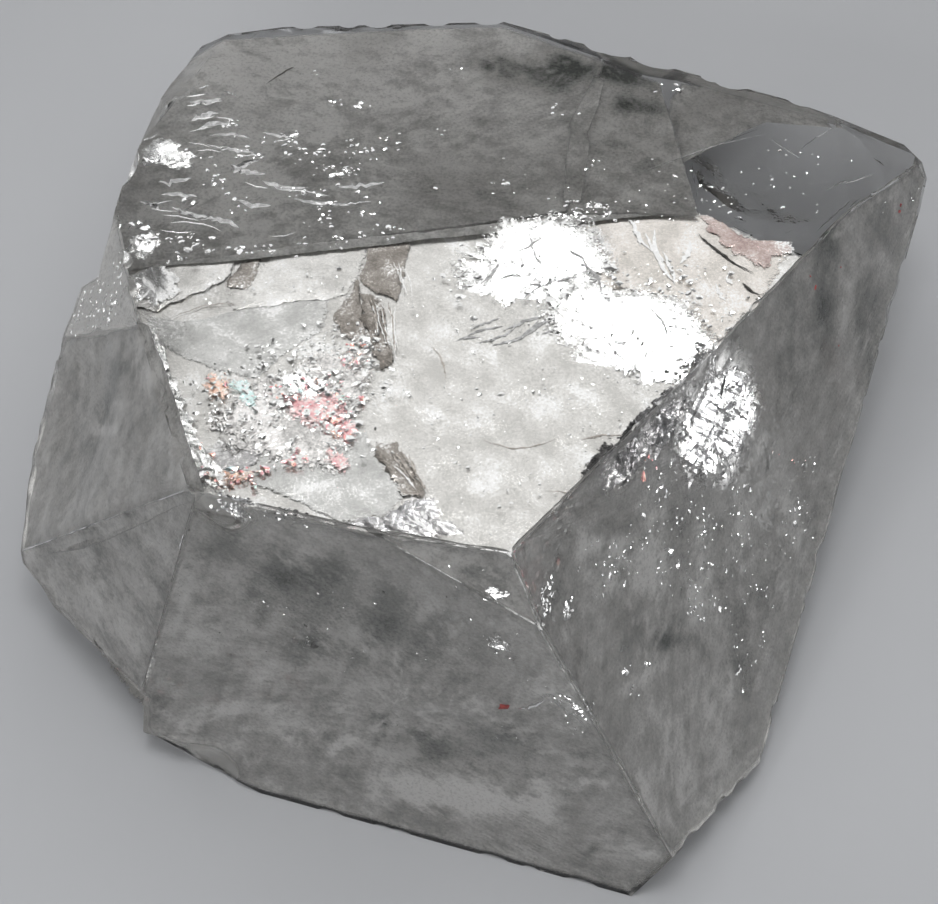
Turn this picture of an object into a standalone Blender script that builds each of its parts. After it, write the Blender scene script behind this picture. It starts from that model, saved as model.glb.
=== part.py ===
"""A stubby clear quartz crystal, as one solid.

Three large end faces meet at one corner. The other sides are breaks and faces that lean under,
down to a flat break that the crystal rests on. A block is cut by one plane for each face, then
hollow scars, two broken steps and small chips are taken out of it.
Lengths are in millimetres, and the meshes are written in metres. +Z is up, the tip corner is
towards -Y, and the origin is the middle of the footprint's box.
"""

import math
import random

import bmesh
import bpy
from mathutils import Matrix, Vector

NAME = "quartz_specimen"
MM = 0.001

BLOCK_SIDE = 120.0
CHIP_SEED = 11

# A plane is (azimuth, slope, distance): the compass angle of its outward normal from +X towards
# +Y, its slope (0 level, 90 upright, over 90 leaning under), both in degrees, and its distance
# from the origin.
END_FACES = {
    "top": (86.0, 16.8, 15.77),
    "right": (-26.5, 64.2, 17.83),
    "front": (-107.3, 84.9, 19.76),
    "tip": (-101.7, 73.3, 23.36),
    "corner_top": (46.8, 22.5, 19.46),
}
LEFT_BREAKS = {
    "left_low": (-141.0, 79.1, 22.57),
    "left_mid": (-173.6, 60.8, 22.56),
    "shoulder": (-178.6, 58.2, 22.71),
    "back_left": (165.7, 71.0, 22.21),
    "back_strip": (134.4, 33.7, 22.03),
}
RIM_BREAKS = {
    "rim_right": (-12.9, 107.0, 15.12),
    "rim_nose": (-41.3, 108.7, 19.14),
    "rim_left": (173.1, 96.9, 20.03),
    "rim_left_up": (166.3, 83.3, 20.93),
    "rim_left_low": (-146.6, 106.7, 20.25),
    "rim_toe": (-121.2, 115.4, 18.44),
    "rim_back_left": (157.7, 79.1, 22.71),
    "rim_back_strip": (103.5, 69.6, 25.46),
    "rim_back": (93.6, 80.2, 23.60),
    "rim_back_right": (64.7, 83.6, 21.67),
    "rim_corner_back": (62.7, 57.9, 23.67),
    "rim_corner": (32.3, 83.5, 25.53),
    "rim_corner_right": (-8.1, 106.2, 16.41),
}
UNDERSIDE = {
    "base": (0.0, 180.0, 0.0),
    "under_back": (102.2, 146.0, 5.01),
    "under_back_mid": (87.0, 148.0, 5.45),
    "under_back_right": (57.0, 140.0, 9.04),
    "under_back_left": (150.0, 122.0, 16.20),
}
FACES = END_FACES | LEFT_BREAKS | RIM_BREAKS | UNDERSIDE

# A broken step is the corner outside two planes, between a low and a high level.
STEPS = {
    "step_low_left": ((-135.6, 111.8, 18.36), (179.1, 84.4, 15.80)),
    "step_shoulder": ((129.7, 55.0, 18.94), (171.2, 77.4, 20.87)),
}

# A hollow scar is (face, a point near it, radius of the hollow, depth), cut by a ball.
SCARS = {
    "scar_front_oval": ("front", (-1.2, -19.6, 8.3), 16.0, 0.28),
    "scar_front_top": ("front", (-11.2, -15.5, 20.6), 3.2, 0.30),
    "scar_left_hollow": ("left_mid", (-18.9, -4.9, 11.7), 30.0, 0.50),
    "scar_toe": ("front", (-13.0, -16.6, 1.1), 4.0, 0.35),
    "scar_toe_end": ("rim_toe", (-14.9, -16.0, 1.2), 3.0, 0.35),
    "scar_top_corner": ("back_left", (-15.6, 13.6, 12.2), 5.0, 0.45),
    "scar_top_left": ("back_left", (-17.0, 8.6, 13.6), 4.5, 0.35),
    "scar_back": ("rim_back", (-6.5, 22.6, 7.6), 5.0, 0.35),
    "scar_back_mid": ("rim_back_right", (8.0, 19.3, 7.6), 7.0, 0.50),
    "scar_back_left": ("rim_left_up", (-19.6, 7.5, 6.5), 9.0, 0.60),
    "scar_right_rim": ("rim_right", (17.2, -2.6, 3.0), 14.0, 0.45),
    "scar_under_wide": ("under_back", (-6.0, 14.5, 3.5), 26.0, 0.80),
    "scar_under_deep": ("under_back_mid", (5.5, 15.5, 3.5), 9.0, 0.90),
    "scar_under_left": ("under_back", (-13.5, 9.0, 2.0), 8.0, 0.70),
    "scar_under_right": ("under_back_right", (14.8, 12.4, 3.8), 16.0, 0.70),
    "scar_under_small": ("under_back", (0.5, 11.0, 1.2), 4.0, 0.45),
}

# A worn edge is (its two faces, the faces that end it, number of chips, depth of a chip).
WORN_EDGES = [
    (("top", "right"), ("tip", "corner_top"), 7, 0.11),
    (("top", "front"), ("tip", "left_low"), 6, 0.16),
    (("top", "tip"), ("right", "front"), 3, 0.14),
    (("top", "left_mid"), ("left_low", "shoulder"), 6, 0.18),
    (("top", "shoulder"), ("left_mid", "back_left"), 4, 0.22),
    (("top", "back_strip"), ("back_left", "rim_back_strip"), 4, 0.20),
    (("top", "rim_back"), ("rim_back_strip", "rim_back_right"), 5, 0.20),
    (("top", "rim_back_right"), ("rim_back", "corner_top"), 7, 0.22),
    (("corner_top", "right"), ("top", "rim_corner"), 2, 0.12),
    (("right", "rim_right"), ("rim_corner_right", "rim_nose"), 9, 0.12),
    (("right", "rim_nose"), ("rim_right", "front"), 3, 0.14),
    (("right", "front"), ("tip", "rim_nose"), 5, 0.10),
    (("left_low", "rim_left_low"), ("rim_left", "front"), 5, 0.24),
    (("left_mid", "rim_left_up"), ("rim_left", "shoulder"), 4, 0.16),
    (("front", "base"), ("rim_toe", "rim_nose"), 6, 0.16),
    (("base", "under_back"), ("under_back_left", "under_back_mid"), 8, 0.22),
    (("base", "under_back_right"), ("under_back_mid", "rim_right"), 3, 0.22),
    (("rim_back", "under_back"), ("under_back_left", "rim_back_right"), 3, 0.30),
]
CHIP_ROUNDNESS = 9.0
CHIP_SPREAD = (0.55, 1.35)
EDGE_MARGIN = 0.06

QUARTZ_COLOUR = (0.60, 0.60, 0.59, 1.0)
QUARTZ_ROUGHNESS = 0.06
QUARTZ_IOR = 1.544


def clear_scene():
    for old in list(bpy.data.objects):
        bpy.data.objects.remove(old, do_unlink=True)


def new_collection(name):
    group = bpy.data.collections.new(name)
    bpy.context.scene.collection.children.link(group)
    return group


def outward_normal(azimuth, slope):
    """Unit vector that points out of a face of this azimuth and slope, in degrees."""
    turn = math.radians(azimuth)
    lean = math.radians(slope)
    return Vector((math.cos(turn) * math.sin(lean), math.sin(turn) * math.sin(lean), math.cos(lean)))


def face_normal(face):
    azimuth, slope, _ = FACES[face]
    return outward_normal(azimuth, slope)


def corner_of(first, second, third):
    """The point where three faces meet."""
    names = (first, second, third)
    normals = Matrix([face_normal(name) for name in names])
    distances = Vector([FACES[name][2] for name in names])
    return normals.inverted() @ distances


def cut_block(planes, keep_outside=False):
    """A bmesh block cut by each plane in turn, with the side inside it kept, or the side outside."""
    block = bmesh.new()
    bmesh.ops.create_cube(block, size=BLOCK_SIDE * MM)
    for azimuth, slope, distance in planes:
        normal = outward_normal(azimuth, slope)
        bmesh.ops.bisect_plane(
            block,
            geom=block.verts[:] + block.edges[:] + block.faces[:],
            plane_co=normal * distance * MM,
            plane_no=normal,
            clear_outer=not keep_outside,
            clear_inner=keep_outside,
        )
        rim = [edge for edge in block.edges if edge.is_boundary]
        bmesh.ops.edgeloop_fill(block, edges=rim)
    bmesh.ops.recalc_face_normals(block, faces=block.faces[:])
    return block


def add_object(name, shape, group):
    """Write a bmesh to a new object in a collection."""
    mesh = bpy.data.meshes.new(name)
    shape.to_mesh(mesh)
    shape.free()
    made = bpy.data.objects.new(name, mesh)
    group.objects.link(made)
    return made


def add_cutter(name, shape, group, body):
    """Make a hidden cutter and subtract it from the body with a Boolean modifier."""
    cutter = add_object(name, shape, group)
    cutter.hide_render = True
    cutter.display_type = "WIRE"
    cut = body.modifiers.new(name, "BOOLEAN")
    cut.operation = "DIFFERENCE"
    cut.solver = "EXACT"
    cut.object = cutter


def ball(centre, radius, subdivisions):
    shape = bmesh.new()
    place = Matrix.Translation(centre * MM)
    bmesh.ops.create_icosphere(shape, subdivisions=subdivisions, radius=radius * MM, matrix=place)
    return shape


def cut_steps(group, body):
    for name, planes in STEPS.items():
        add_cutter(name, cut_block(planes, keep_outside=True), group, body)


def cut_scars(group, body):
    for name, (face, point, radius, depth) in SCARS.items():
        normal = face_normal(face)
        on_face = Vector(point) + normal * (FACES[face][2] - normal.dot(Vector(point)))
        centre = on_face + normal * (radius - depth)
        add_cutter(name, ball(centre, radius, 4), group, body)


def cut_chips(group, body):
    """Small ball-shaped chips at uneven places along each worn edge."""
    dice = random.Random(CHIP_SEED)
    for (first, second), (start_face, end_face), count, depth in WORN_EDGES:
        start = corner_of(first, second, start_face)
        end = corner_of(first, second, end_face)
        outward = (face_normal(first) + face_normal(second)).normalized()
        for number in range(count):
            along = EDGE_MARGIN + (1.0 - 2.0 * EDGE_MARGIN) * (number + dice.random()) / count
            bite = depth * dice.uniform(*CHIP_SPREAD)
            radius = bite * CHIP_ROUNDNESS * dice.uniform(*CHIP_SPREAD)
            centre = start.lerp(end, along) + outward * (radius - bite)
            name = f"chip_{first}_{second}_{number + 1}"
            add_cutter(name, ball(centre, radius, 3), group, body)


def quartz_material():
    material = bpy.data.materials.new("clear_quartz")
    material.use_nodes = True
    shader = material.node_tree.nodes["Principled BSDF"]
    shader.inputs["Base Color"].default_value = QUARTZ_COLOUR
    shader.inputs["Roughness"].default_value = QUARTZ_ROUGHNESS
    shader.inputs["Metallic"].default_value = 0.0
    shader.inputs["IOR"].default_value = QUARTZ_IOR
    shader.inputs["Transmission Weight"].default_value = 1.0
    return material


def build():
    clear_scene()
    parts = new_collection(NAME)
    cutters = new_collection("cutters")
    body = add_object("quartz_crystal", cut_block(FACES.values()), parts)
    body.data.materials.append(quartz_material())
    cut_steps(cutters, body)
    cut_scars(cutters, body)
    cut_chips(cutters, body)


build()
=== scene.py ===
"""A stubby clear quartz crystal on a pale floor: a glassy body with healed fractures, veils,
glints and specks inside it, dressed round its CAD solid.

Lengths are in millimetres, in the CAD's own frame: +Z is up, the tip corner is towards -Y, and
the origin is the middle of the footprint. The meshes are written in metres.
"""
import math

import bmesh
import bpy
import numpy as np
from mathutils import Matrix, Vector
from mathutils.bvhtree import BVHTree
from mathutils.geometry import convex_hull_2d


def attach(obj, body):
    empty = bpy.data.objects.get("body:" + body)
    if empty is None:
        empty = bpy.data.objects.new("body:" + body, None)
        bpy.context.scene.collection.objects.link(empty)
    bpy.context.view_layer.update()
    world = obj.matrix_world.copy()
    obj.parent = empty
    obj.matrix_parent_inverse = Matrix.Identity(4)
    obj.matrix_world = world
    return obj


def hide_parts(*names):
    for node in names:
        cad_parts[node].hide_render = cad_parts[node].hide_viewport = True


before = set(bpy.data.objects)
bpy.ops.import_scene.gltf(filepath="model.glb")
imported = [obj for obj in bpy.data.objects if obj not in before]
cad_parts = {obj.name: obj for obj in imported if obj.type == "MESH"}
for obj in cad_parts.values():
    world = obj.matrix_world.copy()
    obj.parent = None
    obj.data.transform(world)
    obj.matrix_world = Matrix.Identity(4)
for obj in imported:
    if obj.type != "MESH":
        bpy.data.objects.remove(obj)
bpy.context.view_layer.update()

MM = 0.001
BODY_NODE = "quartz_crystal"
QUARTZ_IOR = 1.544
UP = (0.0, 0.0, 1.0)

# The planes of the growth faces and of the break the crystal rests on: (azimuth and slope of
# the outward normal in degrees, distance from the origin). All the other faces are broken.
GROWTH_FACES = {
    "top": (86.0, 16.8, 15.77),
    "right": (-26.5, 64.2, 17.83),
    "front": (-107.3, 84.9, 19.76),
    "tip": (-101.7, 73.3, 23.36),
    "corner_top": (46.8, 22.5, 19.46),
}
# Broken faces that are flat enough to be named.
BROKEN_FACES = {
    "left_low": (-141.0, 79.1, 22.57),
    "left_mid": (-173.6, 60.8, 22.56),
    "shoulder": (-178.6, 58.2, 22.71),
    "under_back": (102.2, 146.0, 5.01),
    "under_back_mid": (87.0, 148.0, 5.45),
    "under_corner": (57.0, 140.0, 9.04),
}
RESTING_FACE = {"base": (0.0, 180.0, 0.0)}
PLANES = GROWTH_FACES | BROKEN_FACES | RESTING_FACE
BROKEN_EDGE = 0.9  # longest edge of the broken faces' mesh
MOST_HALVINGS = 7  # how often an edge of the broken faces may be halved
BROKEN_RELIEF = 0.10  # height of the ripples on the broken faces
FLAT_SLACK = 0.004  # how far from its plane a point of a flat face may be
FROSTED = 1.0  # how frosted a face is, from 0 to 1: a broken one,
FROSTED_BASE = 0.5  # the break the crystal rests on,
CLEAR_CORNER = 0.15  # and the underside of the thin clear corner
SHARP_ANGLE = 32.0  # angle above which an edge of the body stays sharp
QUARTZ_TINT = (0.78, 0.78, 0.76, 1.0)
QUARTZ_ABSORPTION = 14.0  # per metre

CAMERA_PLACE = (-0.68, -88.95, 129.94)
CAMERA_ELEVATION = 55.0
LENS = 120.5

KEY_PLACE = (0.0, -75.0, 285.0)
SOFT_PLACE = (0.0, 50.0, 285.0)
FILL_PLACE = (-120.0, -260.0, 170.0)
KEY_SIZE = 70.0
SOFT_SIZE = 380.0
FILL_SIZE = (160.0, 120.0)
FLOOR_HALF = 3.0  # metres
FLOOR_DROP = 0.00002  # metres below the crystal's base


class Wire:
    """One output socket of a material. Arithmetic adds Math nodes, and node() adds any other."""

    def __init__(self, tree, socket=None):
        self.tree = tree
        self.socket = socket

    def node(self, kind, settings=None, sockets=None, out=0):
        """Adds a node: its settings first, then the value or link of each named socket."""
        made = self.tree.nodes.new(kind)
        for name, value in (settings or {}).items():
            if name == "stops":
                set_stops(made.color_ramp, value)
            else:
                setattr(made, name, value)
        for key, value in (sockets or {}).items():
            target = made.inputs[key]
            if isinstance(value, Wire):
                self.tree.links.new(value.socket, target)
            else:
                target.default_value = value
        return Wire(self.tree, made.outputs[out])

    def math(self, operation, *values):
        """Adds a Math node."""
        return self.node("ShaderNodeMath", {"operation": operation}, dict(enumerate(values)))

    def __add__(self, other):
        return self.math("ADD", self, other)

    def __sub__(self, other):
        return self.math("SUBTRACT", self, other)

    def __rsub__(self, other):
        return self.math("SUBTRACT", other, self)

    def __mul__(self, other):
        return self.math("MULTIPLY", self, other)

    __radd__ = __add__
    __rmul__ = __mul__


def set_stops(ramp, stops):
    """Puts (place, colour) stops on a colour ramp that has two of its own."""
    for n, (place, colour) in enumerate(stops):
        stop = ramp.elements[n] if n < 2 else ramp.elements.new(place)
        stop.position = place
        stop.color = colour


def grey(value):
    """A solid colour with its three parts alike."""
    return (value, value, value, 1.0)


def new_material(name):
    """An empty material, the Wire that its nodes are added through, and Object coordinates."""
    made = bpy.data.materials.new(name)
    made.use_nodes = True
    made.node_tree.nodes.clear()
    wire = Wire(made.node_tree)
    return made, wire, wire.node("ShaderNodeTexCoord", out="Object")


def finish_material(wire, surface, volume=None):
    """Links a shader, and a volume where there is one, to the material's output."""
    out = wire.tree.nodes.new("ShaderNodeOutputMaterial")
    wire.tree.links.new(surface.socket, out.inputs["Surface"])
    if volume is not None:
        wire.tree.links.new(volume.socket, out.inputs["Volume"])


def noise(wire, place, grain, detail=3.0, rough=0.5, seed=0.0):
    """Noise from 0 to 1 whose lumps are about grain millimetres across."""
    shifted = wire.node("ShaderNodeVectorMath", {"operation": "ADD"},
                        {0: place, 1: (seed, 0.37 * seed, -0.61 * seed)})
    return wire.node("ShaderNodeTexNoise", {}, {
        "Vector": shifted, "Scale": 1.0 / (grain * MM), "Detail": detail, "Roughness": rough})


def ramp(wire, value, stops):
    """A colour that goes through (place, colour) stops as the value goes from 0 to 1."""
    return wire.node("ShaderNodeValToRGB", {"stops": stops}, {"Fac": value})


def bump(wire, height, depth, strength=1.0):
    """A normal for a skin whose height goes up and down by a depth in millimetres."""
    return wire.node("ShaderNodeBump", {}, {
        "Strength": strength, "Distance": depth * MM, "Height": height})


def principled(wire, **sockets):
    """A Principled BSDF: a socket's name is given with _ for each space."""
    names = {key.replace("_", " "): value for key, value in sockets.items()}
    return wire.node("ShaderNodeBsdfPrincipled", {}, names)


def attribute(wire, name):
    """A value that the mesh carries under a name."""
    return wire.node("ShaderNodeAttribute", {"attribute_name": name}, out="Fac")


def quartz_material():
    """Clear quartz: smooth and faintly wavy on its growth faces, frosted where it is broken."""
    made, wire, place = new_material("quartz_clear")
    broken = attribute(wire, "broken")
    etch = noise(wire, place, 1.1, 3.0, 0.6)
    surface = principled(
        wire, Base_Color=grey(1.0), IOR=QUARTZ_IOR, Transmission_Weight=1.0,
        Roughness=broken * 0.20 + etch * 0.06,
        Normal=bump(wire, etch * (broken * 0.9 + 0.1), 0.10, 0.5))
    volume = wire.node("ShaderNodeVolumeAbsorption", {}, {
        "Color": QUARTZ_TINT, "Density": QUARTZ_ABSORPTION})
    finish_material(wire, surface, volume)
    return made


def film_material(name, dark, light, rough, edge=0.10):
    """A fracture film: a mirror-like skin between two shades, after its own cloudy shade and
    fine flecks. Near its edge it breaks up into flecks."""
    made, wire, place = new_material(name)
    fleck = noise(wire, place, 0.13, 2.0, 0.65, 2.0)
    tone = ramp(wire, attribute(wire, "shade") * 0.55 + fleck * 0.45,
                [(0.36, dark), (0.54, light), (0.66, grey(1.0))])
    cover = wire.node("ShaderNodeMapRange", {}, {
        "Value": attribute(wire, "inward") * (1.0 / edge) + fleck * 2.0 - 1.0,
        "From Min": 0.1, "From Max": 0.35})
    surface = principled(wire, Base_Color=tone, Metallic=1.0, Alpha=cover,
                         Roughness=fleck * 0.16 + (rough - 0.08))
    finish_material(wire, surface)
    return made


def veil_material(name, dark, middle, light):
    """A cloudy veil: its own cover and shade, with fine dust through both."""
    made, wire, place = new_material(name)
    dust = noise(wire, place, 0.16, 2.0, 0.7, 4.0)
    tone = ramp(wire, attribute(wire, "shade") * 0.75 + dust * 0.25,
                [(0.15, dark), (0.45, middle), (0.90, light)])
    surface = principled(wire, Base_Color=tone, Roughness=0.55,
                         Alpha=attribute(wire, "cover") * (dust * 1.1 + 0.45))
    finish_material(wire, surface)
    return made


def mirror_material(name, dark, light):
    """The clean skin of a tiny crack: a sharp mirror, a little uneven."""
    made, wire, place = new_material(name)
    tone = noise(wire, place, 0.3, 3.0)
    surface = principled(wire, Base_Color=ramp(wire, tone, [(0.4, dark), (0.6, light)]),
                         Metallic=1.0, Roughness=tone * 0.16 + 0.02)
    finish_material(wire, surface)
    return made


def rainbow_material():
    """Thin cracks that throw colours: red and orange, then green and cyan, then white."""
    made, wire, place = new_material("rainbow_flakes")
    band = noise(wire, place, 0.8, 2.0, 0.5)
    hues = ramp(wire, band, [
        (0.34, (0.95, 0.97, 1.0, 1.0)), (0.42, (1.0, 0.42, 0.44, 1.0)),
        (0.47, (1.0, 0.62, 0.50, 1.0)), (0.52, (0.97, 0.96, 0.94, 1.0)),
        (0.58, (1.0, 0.50, 0.55, 1.0)), (0.64, (0.80, 0.97, 0.88, 1.0)),
        (0.70, (0.82, 0.96, 1.0, 1.0))])
    surface = principled(wire, Base_Color=hues, Metallic=1.0,
                         Roughness=noise(wire, place, 0.3) * 0.2 + 0.08)
    finish_material(wire, surface)
    return made


def mineral_material(name, dark, light, rough):
    """A grain of another mineral: two shades in small blotches, with a pitted skin."""
    made, wire, place = new_material(name)
    blotch = noise(wire, place, 0.25, 4.0, 0.6)
    surface = principled(wire, Base_Color=ramp(wire, blotch, [(0.4, dark), (0.6, light)]),
                         Roughness=blotch * 0.2 + rough,
                         Normal=bump(wire, noise(wire, place, 0.12, 3.0), 0.02))
    finish_material(wire, surface)
    return made


def outward(azimuth, slope):
    """The unit vector at an azimuth, leaning from the vertical by a slope, in degrees."""
    a = math.radians(azimuth)
    s = math.radians(slope)
    return np.array([math.cos(a) * math.sin(s), math.sin(a) * math.sin(s), math.cos(s)])


def facing(plane):
    """The outward normal of one of the solid's named faces."""
    azimuth, slope, _ = PLANES[plane]
    return outward(azimuth, slope)


def level(height, places):
    """The places, which have only x and y, at one height."""
    flat = np.asarray(places, dtype=float)
    return np.concatenate([flat, np.full(flat.shape[:-1] + (1,), height)], axis=-1)


def unit(vector):
    """The vector, scaled to a length of 1."""
    vector = np.asarray(vector, dtype=float)
    return vector / np.linalg.norm(vector)


def waves(points, size, seed, count=14):
    """Smooth noise from about -1 to 1: the mean of plane waves in random directions, whose
    lengths are near size."""
    rng = np.random.default_rng(seed)
    ways = rng.normal(size=(count, points.shape[-1]))
    ways /= np.linalg.norm(ways, axis=1, keepdims=True)
    pitch = 2.0 * math.pi / (size * rng.uniform(0.6, 1.7, count))
    phase = rng.uniform(0.0, 2.0 * math.pi, count)
    return np.sin(points @ (ways * pitch[:, None]).T + phase).mean(axis=-1) * 2.2


def cloudy(points, size, seed):
    """Clouds round 0.5: waves of a size, and three more of half the size and 0.6 the height of
    the ones before."""
    total = sum(0.6 ** n * waves(points, size / 2 ** n, seed + n) for n in range(4))
    return 0.5 + 0.22 * total


def threads(points, size, seed):
    """Thin bright threads from 0 to 1: (1 - |waves|) ^ 8, kept where larger waves are high."""
    fine = np.clip(1.0 - np.abs(waves(points, size, seed)), 0.0, 1.0) ** 8
    return fine * np.clip(2.0 * waves(points, 3.0 * size, seed + 7), 0.0, 1.0)


def soft_marks(points, marks):
    """How much soft marks add to a veil's cover and to its shade. A mark runs from one place to
    another, and adds its amounts times exp(-(d / radius)^2) at a distance d from that line."""
    added = np.zeros((len(points), 2))
    for start, end, radius, cover, shade in marks:
        line = np.subtract(end, start)
        share = np.clip((points - start) @ line / (line @ line), 0.0, 1.0)
        gap = np.linalg.norm(points - start - share[:, None] * line, axis=1)
        added += np.exp(-(gap / radius) ** 2)[:, None] * (cover, shade)
    return added


def verts_in(bm, plane):
    """The set of a mesh's vertices that lie in a plane of PLANES."""
    points = np.array([vert.co[:] for vert in bm.verts]) / MM
    near = np.abs(points @ facing(plane) - PLANES[plane][2]) < FLAT_SLACK
    return {vert for vert, hit in zip(bm.verts, near) if hit}


def faces_in(bm, plane):
    """The set of a mesh's faces whose corners all lie in a plane of PLANES."""
    members = verts_in(bm, plane)
    return {face for face in bm.faces if all(vert in members for vert in face.verts)}


def flat_faces(bm):
    """The faces of a mesh that lie in a growth face or in the base."""
    return set().union(*(faces_in(bm, plane) for plane in [*GROWTH_FACES, "base"]))


def welded_solid():
    """The CAD solid with its loose triangles welded, and each growth face made one polygon."""
    bm = bmesh.new()
    bm.from_mesh(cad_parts[BODY_NODE].data)
    bmesh.ops.remove_doubles(bm, verts=bm.verts, dist=1e-6)
    for plane in [*GROWTH_FACES, "base"]:
        bmesh.ops.dissolve_faces(bm, faces=list(faces_in(bm, plane)), use_verts=False)
    return bm


def solid_tree():
    """A search tree of the CAD solid's surface."""
    bm = welded_solid()
    tree = BVHTree.FromBMesh(bm)
    bm.free()
    return tree


def crystal_body(material):
    """The CAD solid's surface as one welded mesh. Flat faces are kept flat. Broken faces are
    divided, and each of their inner points is moved in along its normal by
    relief * (1 - |waves|) ^ 2, which leaves sharp ridges between shallow shells."""
    bm = welded_solid()
    for _ in range(MOST_HALVINGS):
        flat = flat_faces(bm)
        long_edges = {e for f in bm.faces if f not in flat
                      for e in f.edges if e.calc_length() > BROKEN_EDGE * MM}
        if not long_edges:
            break
        bmesh.ops.subdivide_edges(bm, edges=list(long_edges), cuts=1)
        flat = flat_faces(bm)
        bmesh.ops.triangulate(bm, faces=[f for f in bm.faces if f not in flat])
    layer = bm.faces.layers.float.new("broken")
    flat = flat_faces(bm)
    base = faces_in(bm, "base")
    corner = faces_in(bm, "under_corner")
    for face in bm.faces:
        face[layer] = 0.0 if face in flat else FROSTED
        if face in base:
            face[layer] = FROSTED_BASE
        elif face in corner:
            face[layer] = CLEAR_CORNER
    bm.normal_update()
    inner = np.array([all(f[layer] > 0.1 and f[layer] != FROSTED_BASE for f in v.link_faces)
                      for v in bm.verts])
    points = np.array([v.co[:] for v in bm.verts]) / MM
    normals = np.array([v.normal[:] for v in bm.verts])
    shells = (1.0 - np.abs(waves(points, 5.0, 5))) ** 2
    shells += 0.4 * (1.0 - np.abs(waves(points, 2.0, 6)))
    moved = points - normals * (BROKEN_RELIEF * shells * inner)[:, None]
    for vert, place in zip(bm.verts, moved * MM):
        vert.co = place
    mesh = bpy.data.meshes.new("crystal_body")
    bm.to_mesh(mesh)
    bm.free()
    mesh.materials.append(material)
    mesh.shade_smooth()
    mesh.set_sharp_from_angle(angle=math.radians(SHARP_ANGLE))
    broken = np.zeros(len(mesh.polygons), dtype=np.float32)
    mesh.attributes["broken"].data.foreach_get("value", broken)
    mesh.polygons.foreach_set("use_smooth", broken > FROSTED_BASE + 0.05)
    body = bpy.data.objects.new("crystal_body", mesh)
    bpy.context.collection.objects.link(body)
    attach(body, "root")
    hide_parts(BODY_NODE)


def add_piece(name, points, faces, material, **layers):
    """A closed piece inside the crystal: doubles merged, and its normals turned outwards. The
    layers are values for its points that its material reads by name."""
    mesh = bpy.data.meshes.new(name)
    mesh.from_pydata((np.asarray(points) * MM).tolist(), [], np.asarray(faces).tolist())
    for layer, values in layers.items():
        made = mesh.attributes.new(layer, "FLOAT", "POINT")
        made.data.foreach_set("value", np.asarray(values, dtype=np.float32))
    bm = bmesh.new()
    bm.from_mesh(mesh)
    bmesh.ops.remove_doubles(bm, verts=bm.verts, dist=1e-7)
    bmesh.ops.dissolve_degenerate(bm, edges=bm.edges, dist=1e-8)
    bmesh.ops.recalc_face_normals(bm, faces=bm.faces)
    bm.to_mesh(mesh)
    bm.free()
    mesh.materials.append(material)
    piece = bpy.data.objects.new(name, mesh)
    bpy.context.collection.objects.link(piece)
    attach(piece, "root")
    return piece


def deep_inside(points, margins):
    """Which points are inside the solid and more than a margin from its surface."""
    kept = []
    for point, margin in zip(points * MM, margins * MM * np.ones(len(points))):
        near, normal, _, gap = SOLID_TREE.find_nearest(Vector(point))
        kept.append(gap > margin and (Vector(point) - near).dot(normal) < 0.0)
    return np.array(kept)


def axes_across(normal):
    """Two unit vectors that make a right-handed frame with a normal."""
    w = unit(normal)
    u = unit(np.cross((0.0, 1.0, 0.0), w))
    return np.array([u, np.cross(w, u), w])


def wrapped_grid(rows, columns):
    """Quads of a grid of points whose columns close on themselves."""
    r, c = np.meshgrid(np.arange(rows - 1), np.arange(columns), indexing="ij")
    after = (c + 1) % columns
    return np.stack([r * columns + c, r * columns + after,
                     (r + 1) * columns + after, (r + 1) * columns + c], axis=-1).reshape(-1, 4)


def ragged(corners, pitch, jag, rng):
    """Points every pitch along the closed line through the corners, each moved by the sum of
    three random steps that it shares with the points beside it."""
    corners = np.asarray(corners, dtype=float)
    length = np.linalg.norm(np.roll(corners, -1, axis=0) - corners, axis=1)
    count = max(24, int(length.sum() / pitch))
    at = np.linspace(0.0, length.sum(), count, endpoint=False)
    ends = np.concatenate([[0.0], np.cumsum(length)])
    closed = np.vstack([corners, corners[:1]])
    line = np.stack([np.interp(at, ends, closed[:, n]) for n in range(2)], axis=1)
    steps = rng.normal(size=(count, 2))
    wander = 0.6 * steps + 0.4 * np.roll(steps, 1, axis=0) + 0.4 * np.roll(steps, 2, axis=0)
    return line + jag * wander


def hackle(points, facet, spread, grain, seed, count=6):
    """Folded relief of flat facets: the sum of zigzag waves, each zigzag being
    |2 fraction(t) - 1|. facet is about how wide a fold is, spread is the slope of the facets in
    degrees, and grain is the folds' direction in degrees with how closely they keep to it."""
    rng = np.random.default_rng(seed)
    angle, order = grain
    ways = np.radians(angle + 90.0 + rng.uniform(-90.0, 90.0, count) / order)
    pitch = facet * rng.uniform(0.6, 2.0, count)
    shift = rng.uniform(0.0, 1.0, count)
    along = points @ np.stack([np.cos(ways), np.sin(ways)])
    fold = np.abs(2.0 * np.mod(along / pitch + shift, 1.0) - 1.0)
    return (fold * pitch).sum(axis=-1) * math.tan(math.radians(spread)) / (2.0 * math.sqrt(count))


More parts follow.
